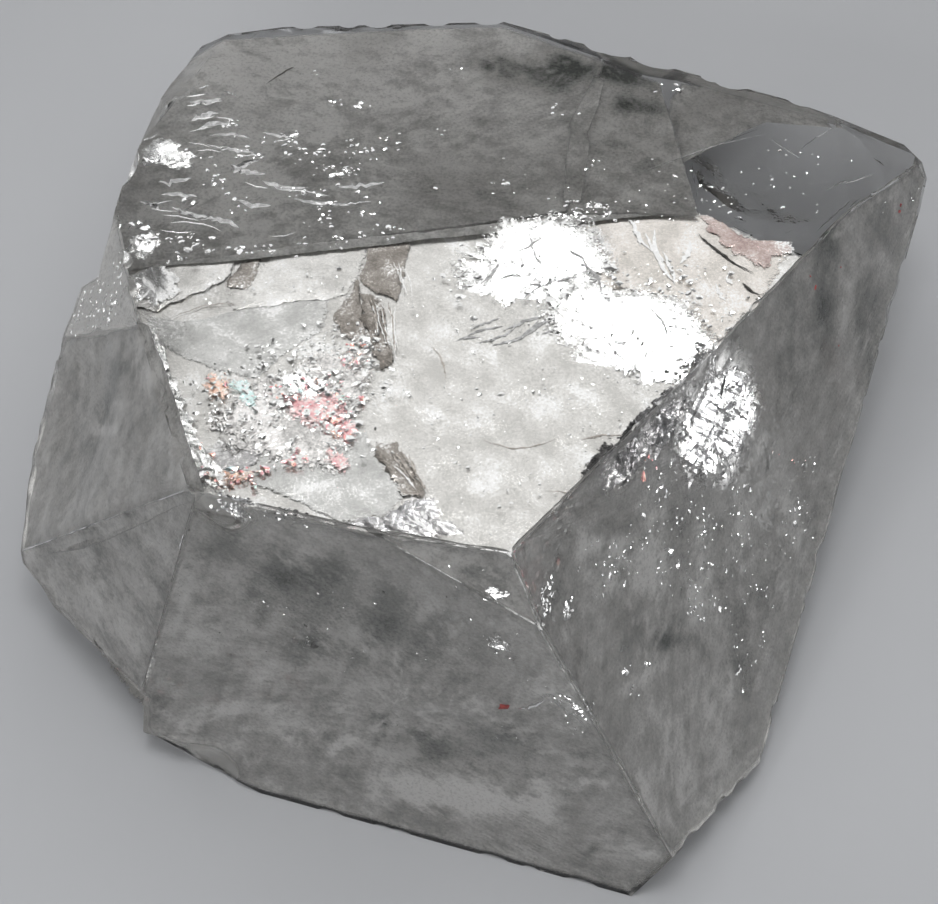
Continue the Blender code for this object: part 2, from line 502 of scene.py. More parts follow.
def film(name, corners, material, lift=0.0, normal=UP, slope=(0.0, 0.0), spread=2.0, facet=1.0,
         grain=(0.0, 1.0), jag=0.10, pitch=0.25, thick=0.05, warp=0.0, dish=0.0, blotch=2.5,
         rim=(0.0, 1.0), steps=None, seed=1, painted=None):
    """A thin fracture film across a normal, through corners given with two or three places.

    A point is centre + s (edge(u) - centre), with s from 0 at the centre to 1 at the ragged
    edge and back to 0 on the other side. Its height along the normal is lift, plus slope times
    its distance from the centre, plus warp times smooth waves, plus the hackle's folds, less a
    dome that leans by dish at its rim, plus rim[0] (1 - d / rim[1])^2 at a distance d from the
    edge, and half the thickness times 1 - s^4 up or down. With steps, the slope starts anew at
    every step of that width, along wavy lines. Its shade is cloudy, in blotches of a size,
    unless painted gives it its layers."""
    rng = np.random.default_rng(seed)
    corners = np.asarray(corners, dtype=float)
    if corners.shape[1] == 2:
        corners = np.hstack([corners, np.zeros((len(corners), 1))])
    axes = axes_across(normal)
    middle = corners.mean(axis=0)
    edge = ragged((corners - middle) @ axes[:2].T, pitch, jag, rng)
    rings = max(4, int(np.linalg.norm(edge, axis=1).max() / pitch))
    out = np.linspace(0.0, 1.0, rings + 1)
    share = np.concatenate([out, out[::-1]])
    side = np.concatenate([np.ones(rings + 1), -np.ones(rings + 1)])
    flat = share[:, None, None] * edge[None, :, :]
    here = flat + (middle @ axes.T)[:2]
    rise = flat @ np.asarray(slope)
    if steps:
        one = steps * np.linalg.norm(slope)
        shift = 0.8 * one * waves(here, 1.6, seed + 70)
        rise = np.mod(rise + shift, one) - shift
    height = lift + rise + hackle(here, facet, spread, grain, seed)
    height += warp * waves(here, 4.0, seed + 50)
    height -= 0.5 * dish * (flat ** 2).sum(axis=-1) / np.linalg.norm(edge, axis=1).mean()
    reach = (1.0 - share)[:, None] * np.linalg.norm(edge, axis=1)
    height += rim[0] * np.clip(1.0 - reach / rim[1], 0.0, 1.0) ** 2
    height += (0.5 * thick * (1.0 - share ** 4) * side)[:, None]
    points = middle + np.dstack([flat, height]).reshape(-1, 3) @ axes
    layers = {"inward": np.repeat(1.0 - share, len(edge))}
    if painted is None:
        layers["shade"] = cloudy(points, blotch, seed + 90)
    else:
        layers |= painted(points, reach.ravel())
    return add_piece(name, points, wrapped_grid(len(share), len(edge)), material, **layers)


def face_outline(plane):
    """The corners of the convex outline of one of the solid's named faces."""
    normal = facing(plane)
    points = np.array([v.co[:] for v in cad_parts[BODY_NODE].data.vertices]) / MM
    near = np.abs(points @ normal - PLANES[plane][2]) < FLAT_SLACK
    points = np.unique(points[near].round(3), axis=0)
    flat = points @ axes_across(normal)[:2].T
    return points[convex_hull_2d([Vector(p) for p in flat])]


def veil(name, corners, normal, material, marks, cover, shade, fade, seed, mottle=(3.5, 0.9),
         haze=0.5, rim=(0.0, 1.0)):
    """A cloudy film through corners, whose cover and shade are cloudy round two middle values,
    with threads and soft marks, and which fades out over its outermost fade millimetres."""
    def painted(points, reach):
        cloud = cloudy(points, mottle[0], seed) - 0.5
        fine = cloudy(points, mottle[1], seed + 20) - 0.5
        thread = threads(points, 1.3, seed + 40)
        added = soft_marks(points, marks) * (1.0 + 2.4 * fine)[:, None]
        edge = np.clip(reach / fade, 0.0, 1.0)
        full = cover + haze * cloud + haze * fine + 0.3 * thread + added[:, 0]
        tone = shade + 0.7 * cloud + 0.6 * fine + 0.4 * thread + added[:, 1]
        return {"cover": np.clip(full, 0.0, 1.0) * edge * edge * (3.0 - 2.0 * edge),
                "shade": np.clip(tone, 0.0, 1.0)}
    return film(name, corners, material, normal=normal, seed=seed, pitch=0.36, warp=0.03,
                jag=0.02, rim=rim, painted=painted)


OUTLINE_PITCH = 0.5  # between the points of a face veil's outline
FARTHEST_IN = 3.0  # how far such a point may be moved towards the middle
REACH_STEP = 0.05
RIM_WIDTH = 0.8  # of the turned-up rim
FACE_GAP = 0.12  # between the outline and the solid's surface


def face_veil(name, plane, depth, material, marks, rise=0.1, lap=(0.0, 0.0, 0.0), **looks):
    """A veil under a face and parallel to it, whose rim turns up towards the face by rise. Each
    point of its outline starts on the face's own and is moved away from the middle, or towards
    it, to the farthest place that still is FACE_GAP inside the solid. It goes past the face's
    outline only as far as lap reaches in that direction."""
    normal = facing(plane)
    corners = face_outline(plane)
    middle = corners.mean(axis=0)
    closed = np.vstack([corners, corners[:1]])
    ends = np.concatenate([[0.0], np.linalg.norm(np.diff(closed, axis=0), axis=1).cumsum()])
    at = np.union1d(ends[:-1], np.arange(0.0, ends[-1], OUTLINE_PITCH))
    line = np.stack([np.interp(at, ends, closed[:, n]) for n in range(3)], axis=1)
    way = line - middle
    length = np.linalg.norm(way, axis=1, keepdims=True)
    way /= length
    reach = np.arange(-FARTHEST_IN, np.linalg.norm(lap) + 0.01, REACH_STEP)
    spots = (line - normal * (depth - rise))[:, None] + reach[None, :, None] * way[:, None]
    clear = deep_inside(spots.reshape(-1, 3), FACE_GAP).reshape(len(line), -1)
    clear |= reach < -0.8 * length
    clear &= reach <= np.maximum(way @ lap, 0.0)[:, None] + 0.01
    last = np.where(clear.all(axis=1), len(reach), clear.argmin(axis=1)) - 1
    inner = spots[np.arange(len(line)), np.maximum(last, 0)]
    return veil(name, inner - normal * rise, normal, material, marks,
                rim=(rise, RIM_WIDTH), **looks)


def bent(direction, plane):
    """A unit direction after it passes in through a face, by Snell's law."""
    normal = facing(plane)
    way = unit(direction)
    fall = -(way @ normal)
    ratio = 1.0 / QUARTZ_IOR
    inner = math.sqrt(1.0 - ratio * ratio * (1.0 - fall * fall))
    return ratio * way + (ratio * fall - inner) * normal


def flashing(spot, plane):
    """The normal of a flake that throws the key light out along the usual line of sight."""
    sight = bent(np.asarray(spot) - CAMERA_PLACE, plane)
    beam = bent(np.asarray(spot) - KEY_PLACE, plane)
    return unit(-sight - beam)


def flash_slope(spot, plane):
    """The slope, on the face's own axes, of facets that flash like the flakes do."""
    side, up, out = axes_across(facing(plane)) @ flashing(spot, plane)
    return (-side / out, -up / out)


def flakes(name, spots, plane, material, count, scatter, size, wobble=2.5, seed=1, lift=0.0):
    """Tiny six-sided flakes scattered round a few spots, all lying nearly the same way. The
    scatter is how far they stray along the face and how far through it, and lift moves them
    all nearer to the face.

    A flake is a thin double pyramid on a hexagon. Its corners are at
    centre + r (cos t U + sin t V), with r uneven, and its tips at centre +- r / 14 along its
    normal, which leans off the common normal by a random angle of about wobble degrees."""
    rng = np.random.default_rng(seed)
    spots = np.asarray(spots, dtype=float)
    which = np.concatenate([np.arange(len(spots)), rng.integers(0, len(spots), count)])
    spread, depth = scatter
    offset = rng.normal(size=(len(which), 3)) * (spread, spread, depth) + (0.0, 0.0, lift)
    centres = spots[which] + offset @ axes_across(facing(plane))
    radius = size * rng.lognormal(0.0, 0.45, len(which))
    kept = deep_inside(centres, 0.08 + 0.7 * radius)
    which, centres, radius = which[kept], centres[kept], radius[kept]
    total = len(which)
    common = np.array([flashing(spot, plane) for spot in spots])[which]
    lean = rng.normal(size=(total, 3)) * math.tan(math.radians(wobble))
    normals = common + lean
    normals /= np.linalg.norm(normals, axis=1, keepdims=True)
    across = np.cross(normals, rng.normal(size=(total, 3)))
    across /= np.linalg.norm(across, axis=1, keepdims=True)
    beside = np.cross(normals, across)
    turn = np.arange(6) * math.pi / 3.0
    rim = radius[:, None] * rng.uniform(0.55, 1.2, (total, 6))
    ring = (centres[:, None, :] + (rim * np.cos(turn))[:, :, None] * across[:, None, :]
            + (0.7 * rim * np.sin(turn))[:, :, None] * beside[:, None, :])
    tip = normals * radius[:, None] / 14.0
    points = np.concatenate([ring, (centres + tip)[:, None], (centres - tip)[:, None]], axis=1)
    side = np.arange(6)
    after = (side + 1) % 6
    upper = np.stack([side, after, np.full(6, 6)], axis=1)
    lower = np.stack([after, side, np.full(6, 7)], axis=1)
    faces = np.concatenate([upper, lower])[None] + 8 * np.arange(total)[:, None, None]
    return add_piece(name, points.reshape(-1, 3), faces.reshape(-1, 3), material)


def needles(name, ends, material, width, normal=UP, bow=0.1, seed=1):
    """Thin needles between pairs of ends. A point at s from 0 to 1 is on the line between the
    ends, moved aside by bow times its length times sin(pi s); the section is a flat diamond
    across the normal, and is width sin(pi s) ^ 0.7 wide."""
    rng = np.random.default_rng(seed)
    ends = np.asarray(ends, dtype=float)
    count = len(ends)
    along = ends[:, 1] - ends[:, 0]
    lengths = np.linalg.norm(along, axis=1)
    across = np.cross(unit(normal), along)
    across /= np.linalg.norm(across, axis=1, keepdims=True)
    s = np.linspace(0.0, 1.0, 11)
    swell = np.sin(math.pi * s)
    aside = rng.uniform(-1.0, 1.0, count)[:, None] * bow * lengths[:, None] * swell
    aside += 0.25 * width * rng.normal(size=(count, len(s))) * swell
    spine = ends[:, :1] + s[None, :, None] * along[:, None] + aside[..., None] * across[:, None]
    half = 0.5 * width * rng.uniform(0.6, 1.3, count)[:, None] * swell ** 0.7
    beside = half[..., None] * across[:, None]
    above = 0.06 * half[..., None] * unit(normal)
    points = np.stack([spine + beside, spine + above, spine - beside, spine - above], axis=2)
    quads = wrapped_grid(len(s), 4)[None] + 4 * len(s) * np.arange(count)[:, None, None]
    return add_piece(name, points.reshape(-1, 3), quads.reshape(-1, 4), material)


def streaks(name, start, end, material, count, length, width, run, spread, normal=UP, seed=1):
    """Fine needles side by side along a band from start to end, each running a length of about
    the one given along the direction run."""
    rng = np.random.default_rng(seed)
    place = rng.uniform(0.0, 1.0, (count, 1))
    centres = start + place * np.subtract(end, start)
    centres = centres + rng.normal(size=(count, 3)) * spread * (1.0, 1.0, 0.3)
    way = unit(run) + rng.normal(size=(count, 3)) * 0.05
    way *= 0.5 * length * rng.uniform(0.4, 1.2, (count, 1))
    kept = deep_inside(centres, 0.6)
    ends = np.stack([centres - way, centres + way], axis=1)[kept]
    return needles(name, ends, material, width, normal, seed=seed)


def make_camera():
    """The camera: a long lens in front of the crystal, looking down at it."""
    data = bpy.data.cameras.new("camera")
    data.lens = LENS
    data.sensor_width = 36.0
    data.clip_start = 0.005
    camera = bpy.data.objects.new("camera", data)
    camera.location = Vector(CAMERA_PLACE) * MM
    camera.rotation_euler = (math.radians(90.0 - CAMERA_ELEVATION), 0.0, 0.0)
    bpy.context.collection.objects.link(camera)
    bpy.context.scene.camera = camera


def soft_light(name, place, target, width, height, radiance):
    """A rectangular soft light: its power gives the radiance asked for, for any size."""
    data = bpy.data.lights.new(name, "AREA")
    data.shape = "RECTANGLE"
    data.size = width * MM
    data.size_y = height * MM
    data.energy = radiance * math.pi * data.size * data.size_y
    light = bpy.data.objects.new(name, data)
    light.location = Vector(place) * MM
    aim = (Vector(target) - Vector(place)).to_track_quat("-Z", "Y")
    light.rotation_euler = aim.to_euler()
    light.visible_camera = False
    bpy.context.collection.objects.link(light)


def make_floor():
    """A plain pale floor, just below the base so that the two surfaces don't meet."""
    made, wire, place = new_material("pale_floor")
    tone = ramp(wire, noise(wire, place, 30.0), [(0.3, (0.50, 0.51, 0.53, 1.0)),
                                                 (0.7, (0.54, 0.55, 0.57, 1.0))])
    finish_material(wire, principled(wire, Base_Color=tone, Roughness=0.8))
    mesh = bpy.data.meshes.new("floor")
    corners = [(x * FLOOR_HALF, y * FLOOR_HALF, -FLOOR_DROP)
               for x, y in ((-1, -1), (1, -1), (1, 1), (-1, 1))]
    mesh.from_pydata(corners, [], [(0, 1, 2, 3)])
    floor = bpy.data.objects.new("floor", mesh)
    mesh.materials.append(made)
    bpy.context.collection.objects.link(floor)


def make_world(value):
    """An even grey surround."""
    world = bpy.data.worlds.new("studio")
    world.use_nodes = True
    world.node_tree.nodes["Background"].inputs["Color"].default_value = grey(value)
    bpy.context.scene.world = world


crystal_body(quartz_material())
SOLID_TREE = solid_tree()

# Finishes of the inner pieces: fracture films, mirror-like flakes, minerals and the veils.
pearl = film_material("fracture_pearl", (0.70, 0.69, 0.67, 1.0), (0.90, 0.89, 0.87, 1.0), 0.20)
pale = film_material("fracture_pale", (0.62, 0.61, 0.59, 1.0), (0.80, 0.79, 0.77, 1.0), 0.20,
                     edge=0.03)
plain = film_material("fracture_plain", (0.53, 0.53, 0.52, 1.0), (0.70, 0.70, 0.69, 1.0), 0.20)
ashen = film_material("fracture_ashen", (0.40, 0.40, 0.41, 1.0), (0.58, 0.57, 0.57, 1.0), 0.22,
                      edge=0.2)
smoke = film_material("fracture_smoke", (0.20, 0.18, 0.16, 1.0), (0.42, 0.39, 0.36, 1.0), 0.20)
silver = film_material("fracture_silver", (0.82, 0.82, 0.83, 1.0), (0.98, 0.98, 0.98, 1.0), 0.14,
                       edge=0.35)
glow = film_material("fracture_glowing", (0.76, 0.76, 0.76, 1.0), (0.96, 0.96, 0.95, 1.0), 0.28,
                     edge=0.6)
spark = film_material("fracture_sparkling", (0.55, 0.54, 0.53, 1.0), (0.96, 0.94, 0.93, 1.0),
                      0.13, edge=0.35)
warm = film_material("fracture_warm", (0.66, 0.63, 0.59, 1.0), (0.86, 0.82, 0.78, 1.0), 0.18)
rosy = film_material("fracture_rosy", (0.46, 0.35, 0.33, 1.0), (0.66, 0.56, 0.53, 1.0), 0.22,
                     edge=0.2)
pink = film_material("fracture_pink", (0.84, 0.42, 0.45, 1.0), (1.0, 0.78, 0.77, 1.0), 0.16,
                     edge=0.8)
orange = film_material("fracture_orange", (0.88, 0.52, 0.40, 1.0), (1.0, 0.78, 0.66, 1.0), 0.16,
                       edge=0.8)
cyan = film_material("fracture_cyan", (0.62, 0.82, 0.80, 1.0), (0.82, 0.98, 0.98, 1.0), 0.16,
                     edge=0.8)
bright = mirror_material("flake_bright", grey(0.9), grey(1.0))
grey_skin = mirror_material("needle_grey", grey(0.35), grey(0.6))
brown_skin = mirror_material("needle_brown", (0.36, 0.33, 0.30, 1.0), (0.58, 0.54, 0.50, 1.0))
dark = mineral_material("crack_dark", (0.04, 0.04, 0.04, 1.0), (0.14, 0.13, 0.12, 1.0), 0.3)
iron = mineral_material("iron_red", (0.35, 0.01, 0.01, 1.0), (0.75, 0.05, 0.03, 1.0), 0.3)
rainbow = rainbow_material()
milk = veil_material("veil_milk", (0.09, 0.10, 0.09, 1.0), (0.62, 0.61, 0.59, 1.0),
                     (1.0, 0.99, 0.97, 1.0))

# The window on the base: its floor, panes, wedges, glares, sparkle field and coloured patches.
KEY_SLOPE = (0.0, 0.15)  # facets with this slope throw the key light out through the top
film("film_floor", face_outline("base") * (0.99, 0.99, 0.0), pale, lift=0.25, spread=1.0,
    facet=2.2, pitch=0.4, seed=3)
film("film_left_pane", [
    (-17.5, 4.5), (-17.0, 5.2), (-15.6, 6.2), (-12.5, 6.1), (-12.5, 4.6), (-13.9, 3.4),
    (-15.9, 2.1), (-17.4, 2.2),
], pearl, 0.6, spread=1.0, facet=0.8, seed=4)
# Painted light: a silver film on the left pane's left part, whose brighter colour lightens the
# shadow that the shell-shaped flashes above it cast there.
film("film_left_painted_light", [
    (-17.3, 4.6), (-16.8, 5.0), (-15.9, 5.5), (-15.2, 4.6), (-15.1, 3.2), (-15.9, 2.3),
    (-17.1, 2.5),
], silver, 0.85, spread=2.0, facet=0.8, jag=0.15, pitch=0.16, seed=25)
film("film_mid_pane", [
    (-11.8, 4.0), (-10.8, 5.8), (-10.2, 6.6), (-5.8, 7.3), (-6.3, 4.7), (-6.7, 3.5), (-7.6, 3.0),
    (-9.2, 2.9), (-12.3, 2.1), (-12.9, 2.9),
], pearl, 0.45, spread=0.8, seed=5)
film("film_grey_pane", [
    (-16.7, 1.7), (-14.9, 1.2), (-12.3, 2.2), (-9.2, 2.9), (-7.6, 3.1), (-7.9, 0.8), (-9.9, -0.9),
    (-11.0, -2.6), (-13.2, -1.9), (-16.2, -0.1),
], plain, 0.38, spread=0.7, seed=6, jag=0.05)
film("film_front_pane", [
    (-10.7, -7.2), (-10.9, -9.2), (-9.2, -10.1), (-6.8, -11.8), (-4.7, -11.2), (-3.8, -10.2),
    (-4.5, -8.7), (-5.8, -5.9), (-7.4, -5.6), (-9.3, -6.6),
], plain, 0.45, spread=1.0, seed=7)
film("film_oval", [
    (-13.3, -7.6), (-12.8, -6.8), (-11.8, -6.4), (-10.4, -6.4), (-10.4, -7.2), (-10.8, -8.1),
    (-11.5, -8.5), (-12.7, -8.5),
], ashen, 0.5, spread=1.5, facet=0.6, jag=0.08, pitch=0.15, thick=0.02, seed=21)
film("wedge_upper", [
    (-5.8, 7.1), (-3.7, 7.3), (-4.0, 5.0), (-4.3, 2.9), (-5.6, 3.6), (-6.3, 4.4),
], smoke, 0.6, slope=(-0.05, 0.0), spread=1.5, seed=8, jag=0.05)
film("wedge_lower", [
    (-6.3, 4.5), (-6.9, 2.9), (-7.5, 1.6), (-6.9, 0.6), (-6.0, -0.5), (-5.8, 0.1), (-6.0, 2.2),
], smoke, 0.6, slope=(-0.08, 0.0), spread=1.5, seed=9, jag=0.05)
film("wedge_band", [
    (-6.1, 3.5), (-5.1, 3.2), (-4.8, 0.9), (-4.4, -1.2), (-5.0, -2.0), (-5.9, 1.2),
], smoke, 0.65, spread=5.0, facet=0.22, grain=(-78.0, 12.0), seed=10, pitch=0.12)
film("channel_band", [
    (-5.4, -6.7), (-4.2, -6.6), (-3.5, -8.4), (-2.8, -10.1), (-3.9, -10.1), (-5.1, -7.7),
], smoke, 0.65, spread=4.0, facet=0.22, grain=(-62.0, 12.0), seed=11, pitch=0.12)
film("tip_fracture", [
    (-6.7, -12.4), (-4.7, -11.8), (-3.5, -10.8), (-2.4, -10.7), (-2.1, -11.9), (-1.0, -12.9),
    (-3.1, -13.2), (-4.9, -12.8),
], ashen, 3.0, slope=(0.05, 0.1), spread=4.0, facet=0.45, seed=12, pitch=0.12)
film("glare_rear", [
    (-0.3, 3.8), (0.5, 4.9), (0.2, 6.5), (1.0, 8.1), (2.2, 8.7), (3.1, 8.1), (4.0, 8.5),
    (4.8, 7.7), (4.9, 6.6), (5.7, 6.1), (5.2, 5.0), (4.3, 4.4), (3.7, 3.3), (3.0, 4.1), (2.3, 3.4),
    (1.6, 3.9), (0.9, 2.9), (0.3, 3.6),
], silver, 0.9, slope=KEY_SLOPE, spread=2.0, facet=0.7, grain=(30.0, 2.0), seed=13, pitch=0.15,
    jag=0.24)
film("glare_rear_fringe", [
    (-1.4, 4.6), (-0.6, 6.6), (0.4, 8.5), (2.4, 9.4), (4.6, 9.2), (5.6, 7.8), (6.6, 5.6),
    (5.9, 3.9), (4.4, 2.6), (2.4, 2.6), (0.6, 2.0), (-1.2, 3.0),
], glow, 0.65, slope=KEY_SLOPE, spread=3.0, facet=0.45, grain=(30.0, 2.0), seed=17, pitch=0.14,
    jag=0.35, dish=0.07)
film("glare_right", [
    (3.6, 3.0), (4.5, 3.6), (5.6, 3.7), (6.5, 2.8), (7.9, 3.3), (8.8, 2.6), (10.0, 1.8),
    (10.3, 0.5), (11.2, -0.1), (10.8, -1.1), (9.6, -1.5), (9.2, -2.7), (8.3, -2.4), (7.8, -3.0),
    (7.2, -1.9), (6.4, -2.3), (6.1, -1.2), (5.3, -1.0), (5.2, -0.1), (4.3, 0.2), (4.6, 1.2),
], silver, 0.95, slope=KEY_SLOPE, spread=1.8, facet=0.9, seed=14, jag=0.24, pitch=0.15)
film("glare_right_fringe", [
    (3.0, 3.8), (5.4, 4.4), (7.4, 4.0), (9.4, 3.7), (10.6, 2.0), (11.4, 0.0), (11.1, -2.0),
    (9.2, -3.2), (7.0, -3.7), (5.2, -2.6), (3.6, -0.6), (2.8, 1.4),
], glow, 0.62, slope=KEY_SLOPE, spread=3.0, facet=0.45, grain=(-25.0, 2.0), seed=18, pitch=0.14,
    jag=0.35, dish=0.07)
needles("lines_glare", level(1.3, [
    ((4.3, 5.9), (5.6, 2.9)), ((3.7, 6.8), (5.1, 5.1)), ((0.9, 3.3), (3.3, 5.3)),
    ((1.7, 2.8), (4.2, 4.2)), ((-0.3, 3.9), (0.7, 5.6)), ((7.5, 2.9), (8.6, -0.6)),
    ((5.5, 1.5), (7.3, -1.9)), ((2.2, 8.1), (3.1, 4.8)), ((0.4, 4.2), (2.0, 4.6)),
    ((3.0, 4.3), (4.6, 4.9)), ((4.6, 3.4), (6.0, 3.0)), ((1.2, 6.2), (2.9, 7.6)),
]), grey_skin, 0.11, UP, bow=0.18, seed=82)
film("warm_pane", [
    (4.5, 8.7), (8.3, 9.4), (11.0, 9.5), (12.3, 8.4), (13.3, 7.0), (15.3, 7.2), (13.7, 3.6),
    (11.1, -0.1), (10.1, 1.4), (9.3, 3.4), (7.1, 3.8), (5.6, 4.2),
], warm, 0.4, spread=1.0, facet=1.5, seed=15)
film("wedge_left", [
    (-12.2, 5.6), (-11.1, 6.3), (-11.3, 5.0), (-11.7, 3.7), (-12.8, 3.8), (-12.5, 4.7),
], smoke, 0.55, spread=1.5, facet=0.6, jag=0.06, pitch=0.15, seed=23)
film("rim_crumple", [
    (-17.2, 1.2), (-16.3, 1.0), (-15.5, -0.9), (-14.4, -3.8), (-13.5, -6.7), (-12.7, -8.6),
    (-11.8, -10.1), (-12.6, -10.2), (-13.7, -9.2), (-14.8, -7.4), (-15.9, -4.4), (-16.8, -1.6),
], glow, 0.8, slope=KEY_SLOPE, steps=3.0, spread=6.0, facet=0.45, jag=0.15, pitch=0.14, seed=24)
film("rosy_edge", [
    (10.8, 9.5), (12.2, 8.6), (13.3, 7.2), (15.2, 7.3), (14.8, 5.9), (13.2, 5.7), (12.0, 7.5),
    (10.9, 8.7),
], rosy, 0.6, spread=1.5, facet=0.6, jag=0.2, pitch=0.15, seed=16)
film("spark_field", [
    (-13.0, -4.4), (-11.7, -3.3), (-9.4, -2.0), (-7.8, -0.8), (-6.7, -0.3), (-5.5, -1.4),
    (-5.7, -4.0), (-6.4, -6.6), (-6.6, -8.4), (-8.1, -8.7), (-10.1, -7.8), (-12.1, -7.1),
    (-13.5, -5.9),
], spark, 0.65, spread=4.5, facet=0.4, jag=0.3, pitch=0.14, blotch=1.2, seed=19)
film("spark_white", [
    (-9.9, -2.6), (-8.9, -1.9), (-7.6, -2.7), (-7.9, -4.2), (-9.2, -4.4),
], silver, 0.95, slope=KEY_SLOPE, spread=4.0, facet=0.4, jag=0.2, pitch=0.12, seed=20)
for n, (tint, corners) in enumerate([
        (pink, [(-9.7, -4.0), (-8.9, -3.4), (-7.5, -3.5), (-6.6, -4.2), (-6.9, -5.3),
                (-8.3, -5.8), (-9.3, -5.3)]),
        (pink, [(-7.6, -7.0), (-6.8, -7.4), (-6.3, -8.3), (-6.7, -8.8), (-7.4, -8.0)]),
        (pink, [(-7.0, -5.6), (-6.4, -5.2), (-6.1, -5.9), (-6.5, -6.6), (-7.0, -6.3)]),
        (orange, [(-13.6, -2.7), (-13.0, -2.3), (-12.4, -2.6), (-12.2, -3.4), (-12.6, -4.0),
                  (-13.3, -3.8)]),
        (orange, [(-13.4, -8.3), (-12.7, -8.5), (-11.8, -8.9), (-10.9, -8.8), (-11.1, -9.3),
                  (-12.1, -9.6), (-13.1, -9.1)]),
        (cyan, [(-12.0, -2.6), (-11.3, -2.9), (-10.9, -3.9), (-11.3, -4.6), (-11.8, -3.9)])]):
    film(f"tint_patch_{n}", corners, tint, 0.9, spread=4.0, facet=0.3, jag=0.12, pitch=0.1,
         blotch=0.8, thick=0.02, seed=100 + n)

# The veils under the faces, and the two that cover the joins between them.
face_veil("veil_front", "front", 0.55, milk, [
    ((1.0, -18.8, 21.0), (2.2, -19.2, 18.5), 0.6, 0.5, 0.0),
    ((-11.1, -14.9, 20.5), (-10.0, -15.2, 20.5), 0.55, -1.5, 0.0),
    ((-13.3, -15.6, 4.2), (-11.2, -16.1, 6.2), 0.55, 0.35, 0.45),
    ((-14.7, -15.2, 4.1), (-13.8, -15.6, 3.1), 0.45, 0.3, 0.35),
    ((-11.1, -16.3, 4.6), (-10.3, -16.5, 4.7), 0.35, 0.2, 0.4),
    ((-6.7, -17.7, 4.8), (-5.7, -17.8, 6.3), 0.45, 0.25, 0.45),
    ((-4.9, -18.2, 5.3), (-3.2, -18.6, 6.3), 0.5, 0.2, 0.25),
    ((-8.8, -17.0, 4.8), (-8.1, -17.3, 3.3), 0.6, 0.1, 0.15),
    ((-3.1, -18.9, 3.7), (-0.1, -19.8, 4.2), 0.95, 0.35, 0.5),
    ((-2.6, -19.1, 3.4), (2.4, -20.5, 4.9), 1.1, 0.35, 0.65),
    ((2.8, -19.9, 14.0), (5.4, -20.7, 13.9), 0.5, 0.15, 0.25),
    ((2.4, -19.9, 13.5), (4.5, -20.6, 12.6), 0.35, 0.15, 0.35),
    ((3.0, -19.0, 18.5), (5.0, -19.9, 16.5), 1.2, 0.1, 0.12),
    ((-5.0, -18.3, 3.2), (-4.7, -18.6, 1.7), 0.5, 0.1, 0.2),
    ((-3.0, -18.6, 6.9), (0.8, -19.6, 8.7), 1.5, 0.25, -0.28),
    ((3.4, -20.6, 6.8), (5.3, -21.1, 8.2), 0.3, 0.2, 0.4),
    ((2.5, -20.3, 6.8), (2.8, -20.7, 4.3), 0.3, 0.25, 0.45),
    ((3.5, -21.1, 2.0), (6.5, -22.0, 2.6), 1.3, 0.15, 0.15),
    ((4.2, -20.6, 9.5), (4.7, -20.8, 9.0), 0.7, 0.1, -0.2),
    ((-14.1, -14.5, 14.2), (-13.3, -15.1, 10.2), 1.6, 0.1, 0.12),
    ((-10.4, -15.3, 17.1), (-7.9, -16.3, 15.4), 2.0, 0.1, -0.12),
    ((-7.4, -16.2, 17.7), (-2.7, -18.0, 14.8), 2.2, 0.1, -0.15),
    ((-8.0, -16.6, 11.4), (-5.8, -17.1, 13.5), 1.2, 0.05, -0.1),
    ((-12.4, -15.1, 13.5), (-6.8, -17.3, 8.6), 2.6, 0.12, 0.05),
    ((-4.0, -17.6, 14.3), (-3.5, -17.5, 17.3), 0.9, 0.1, -0.12),
    ((1.6, -19.5, 12.4), (3.4, -20.2, 11.0), 0.8, 0.1, 0.12),
], cover=0.74, shade=0.47, fade=0.10, seed=31, rise=0.38)
face_veil("veil_tip", "tip", 0.5, milk, [
    ((-3.5, -18.4, 21.0), (-1.0, -18.9, 21.0), 0.6, 0.1, 0.15),
], cover=0.9, shade=0.45, fade=0.10, seed=40, rise=0.3)
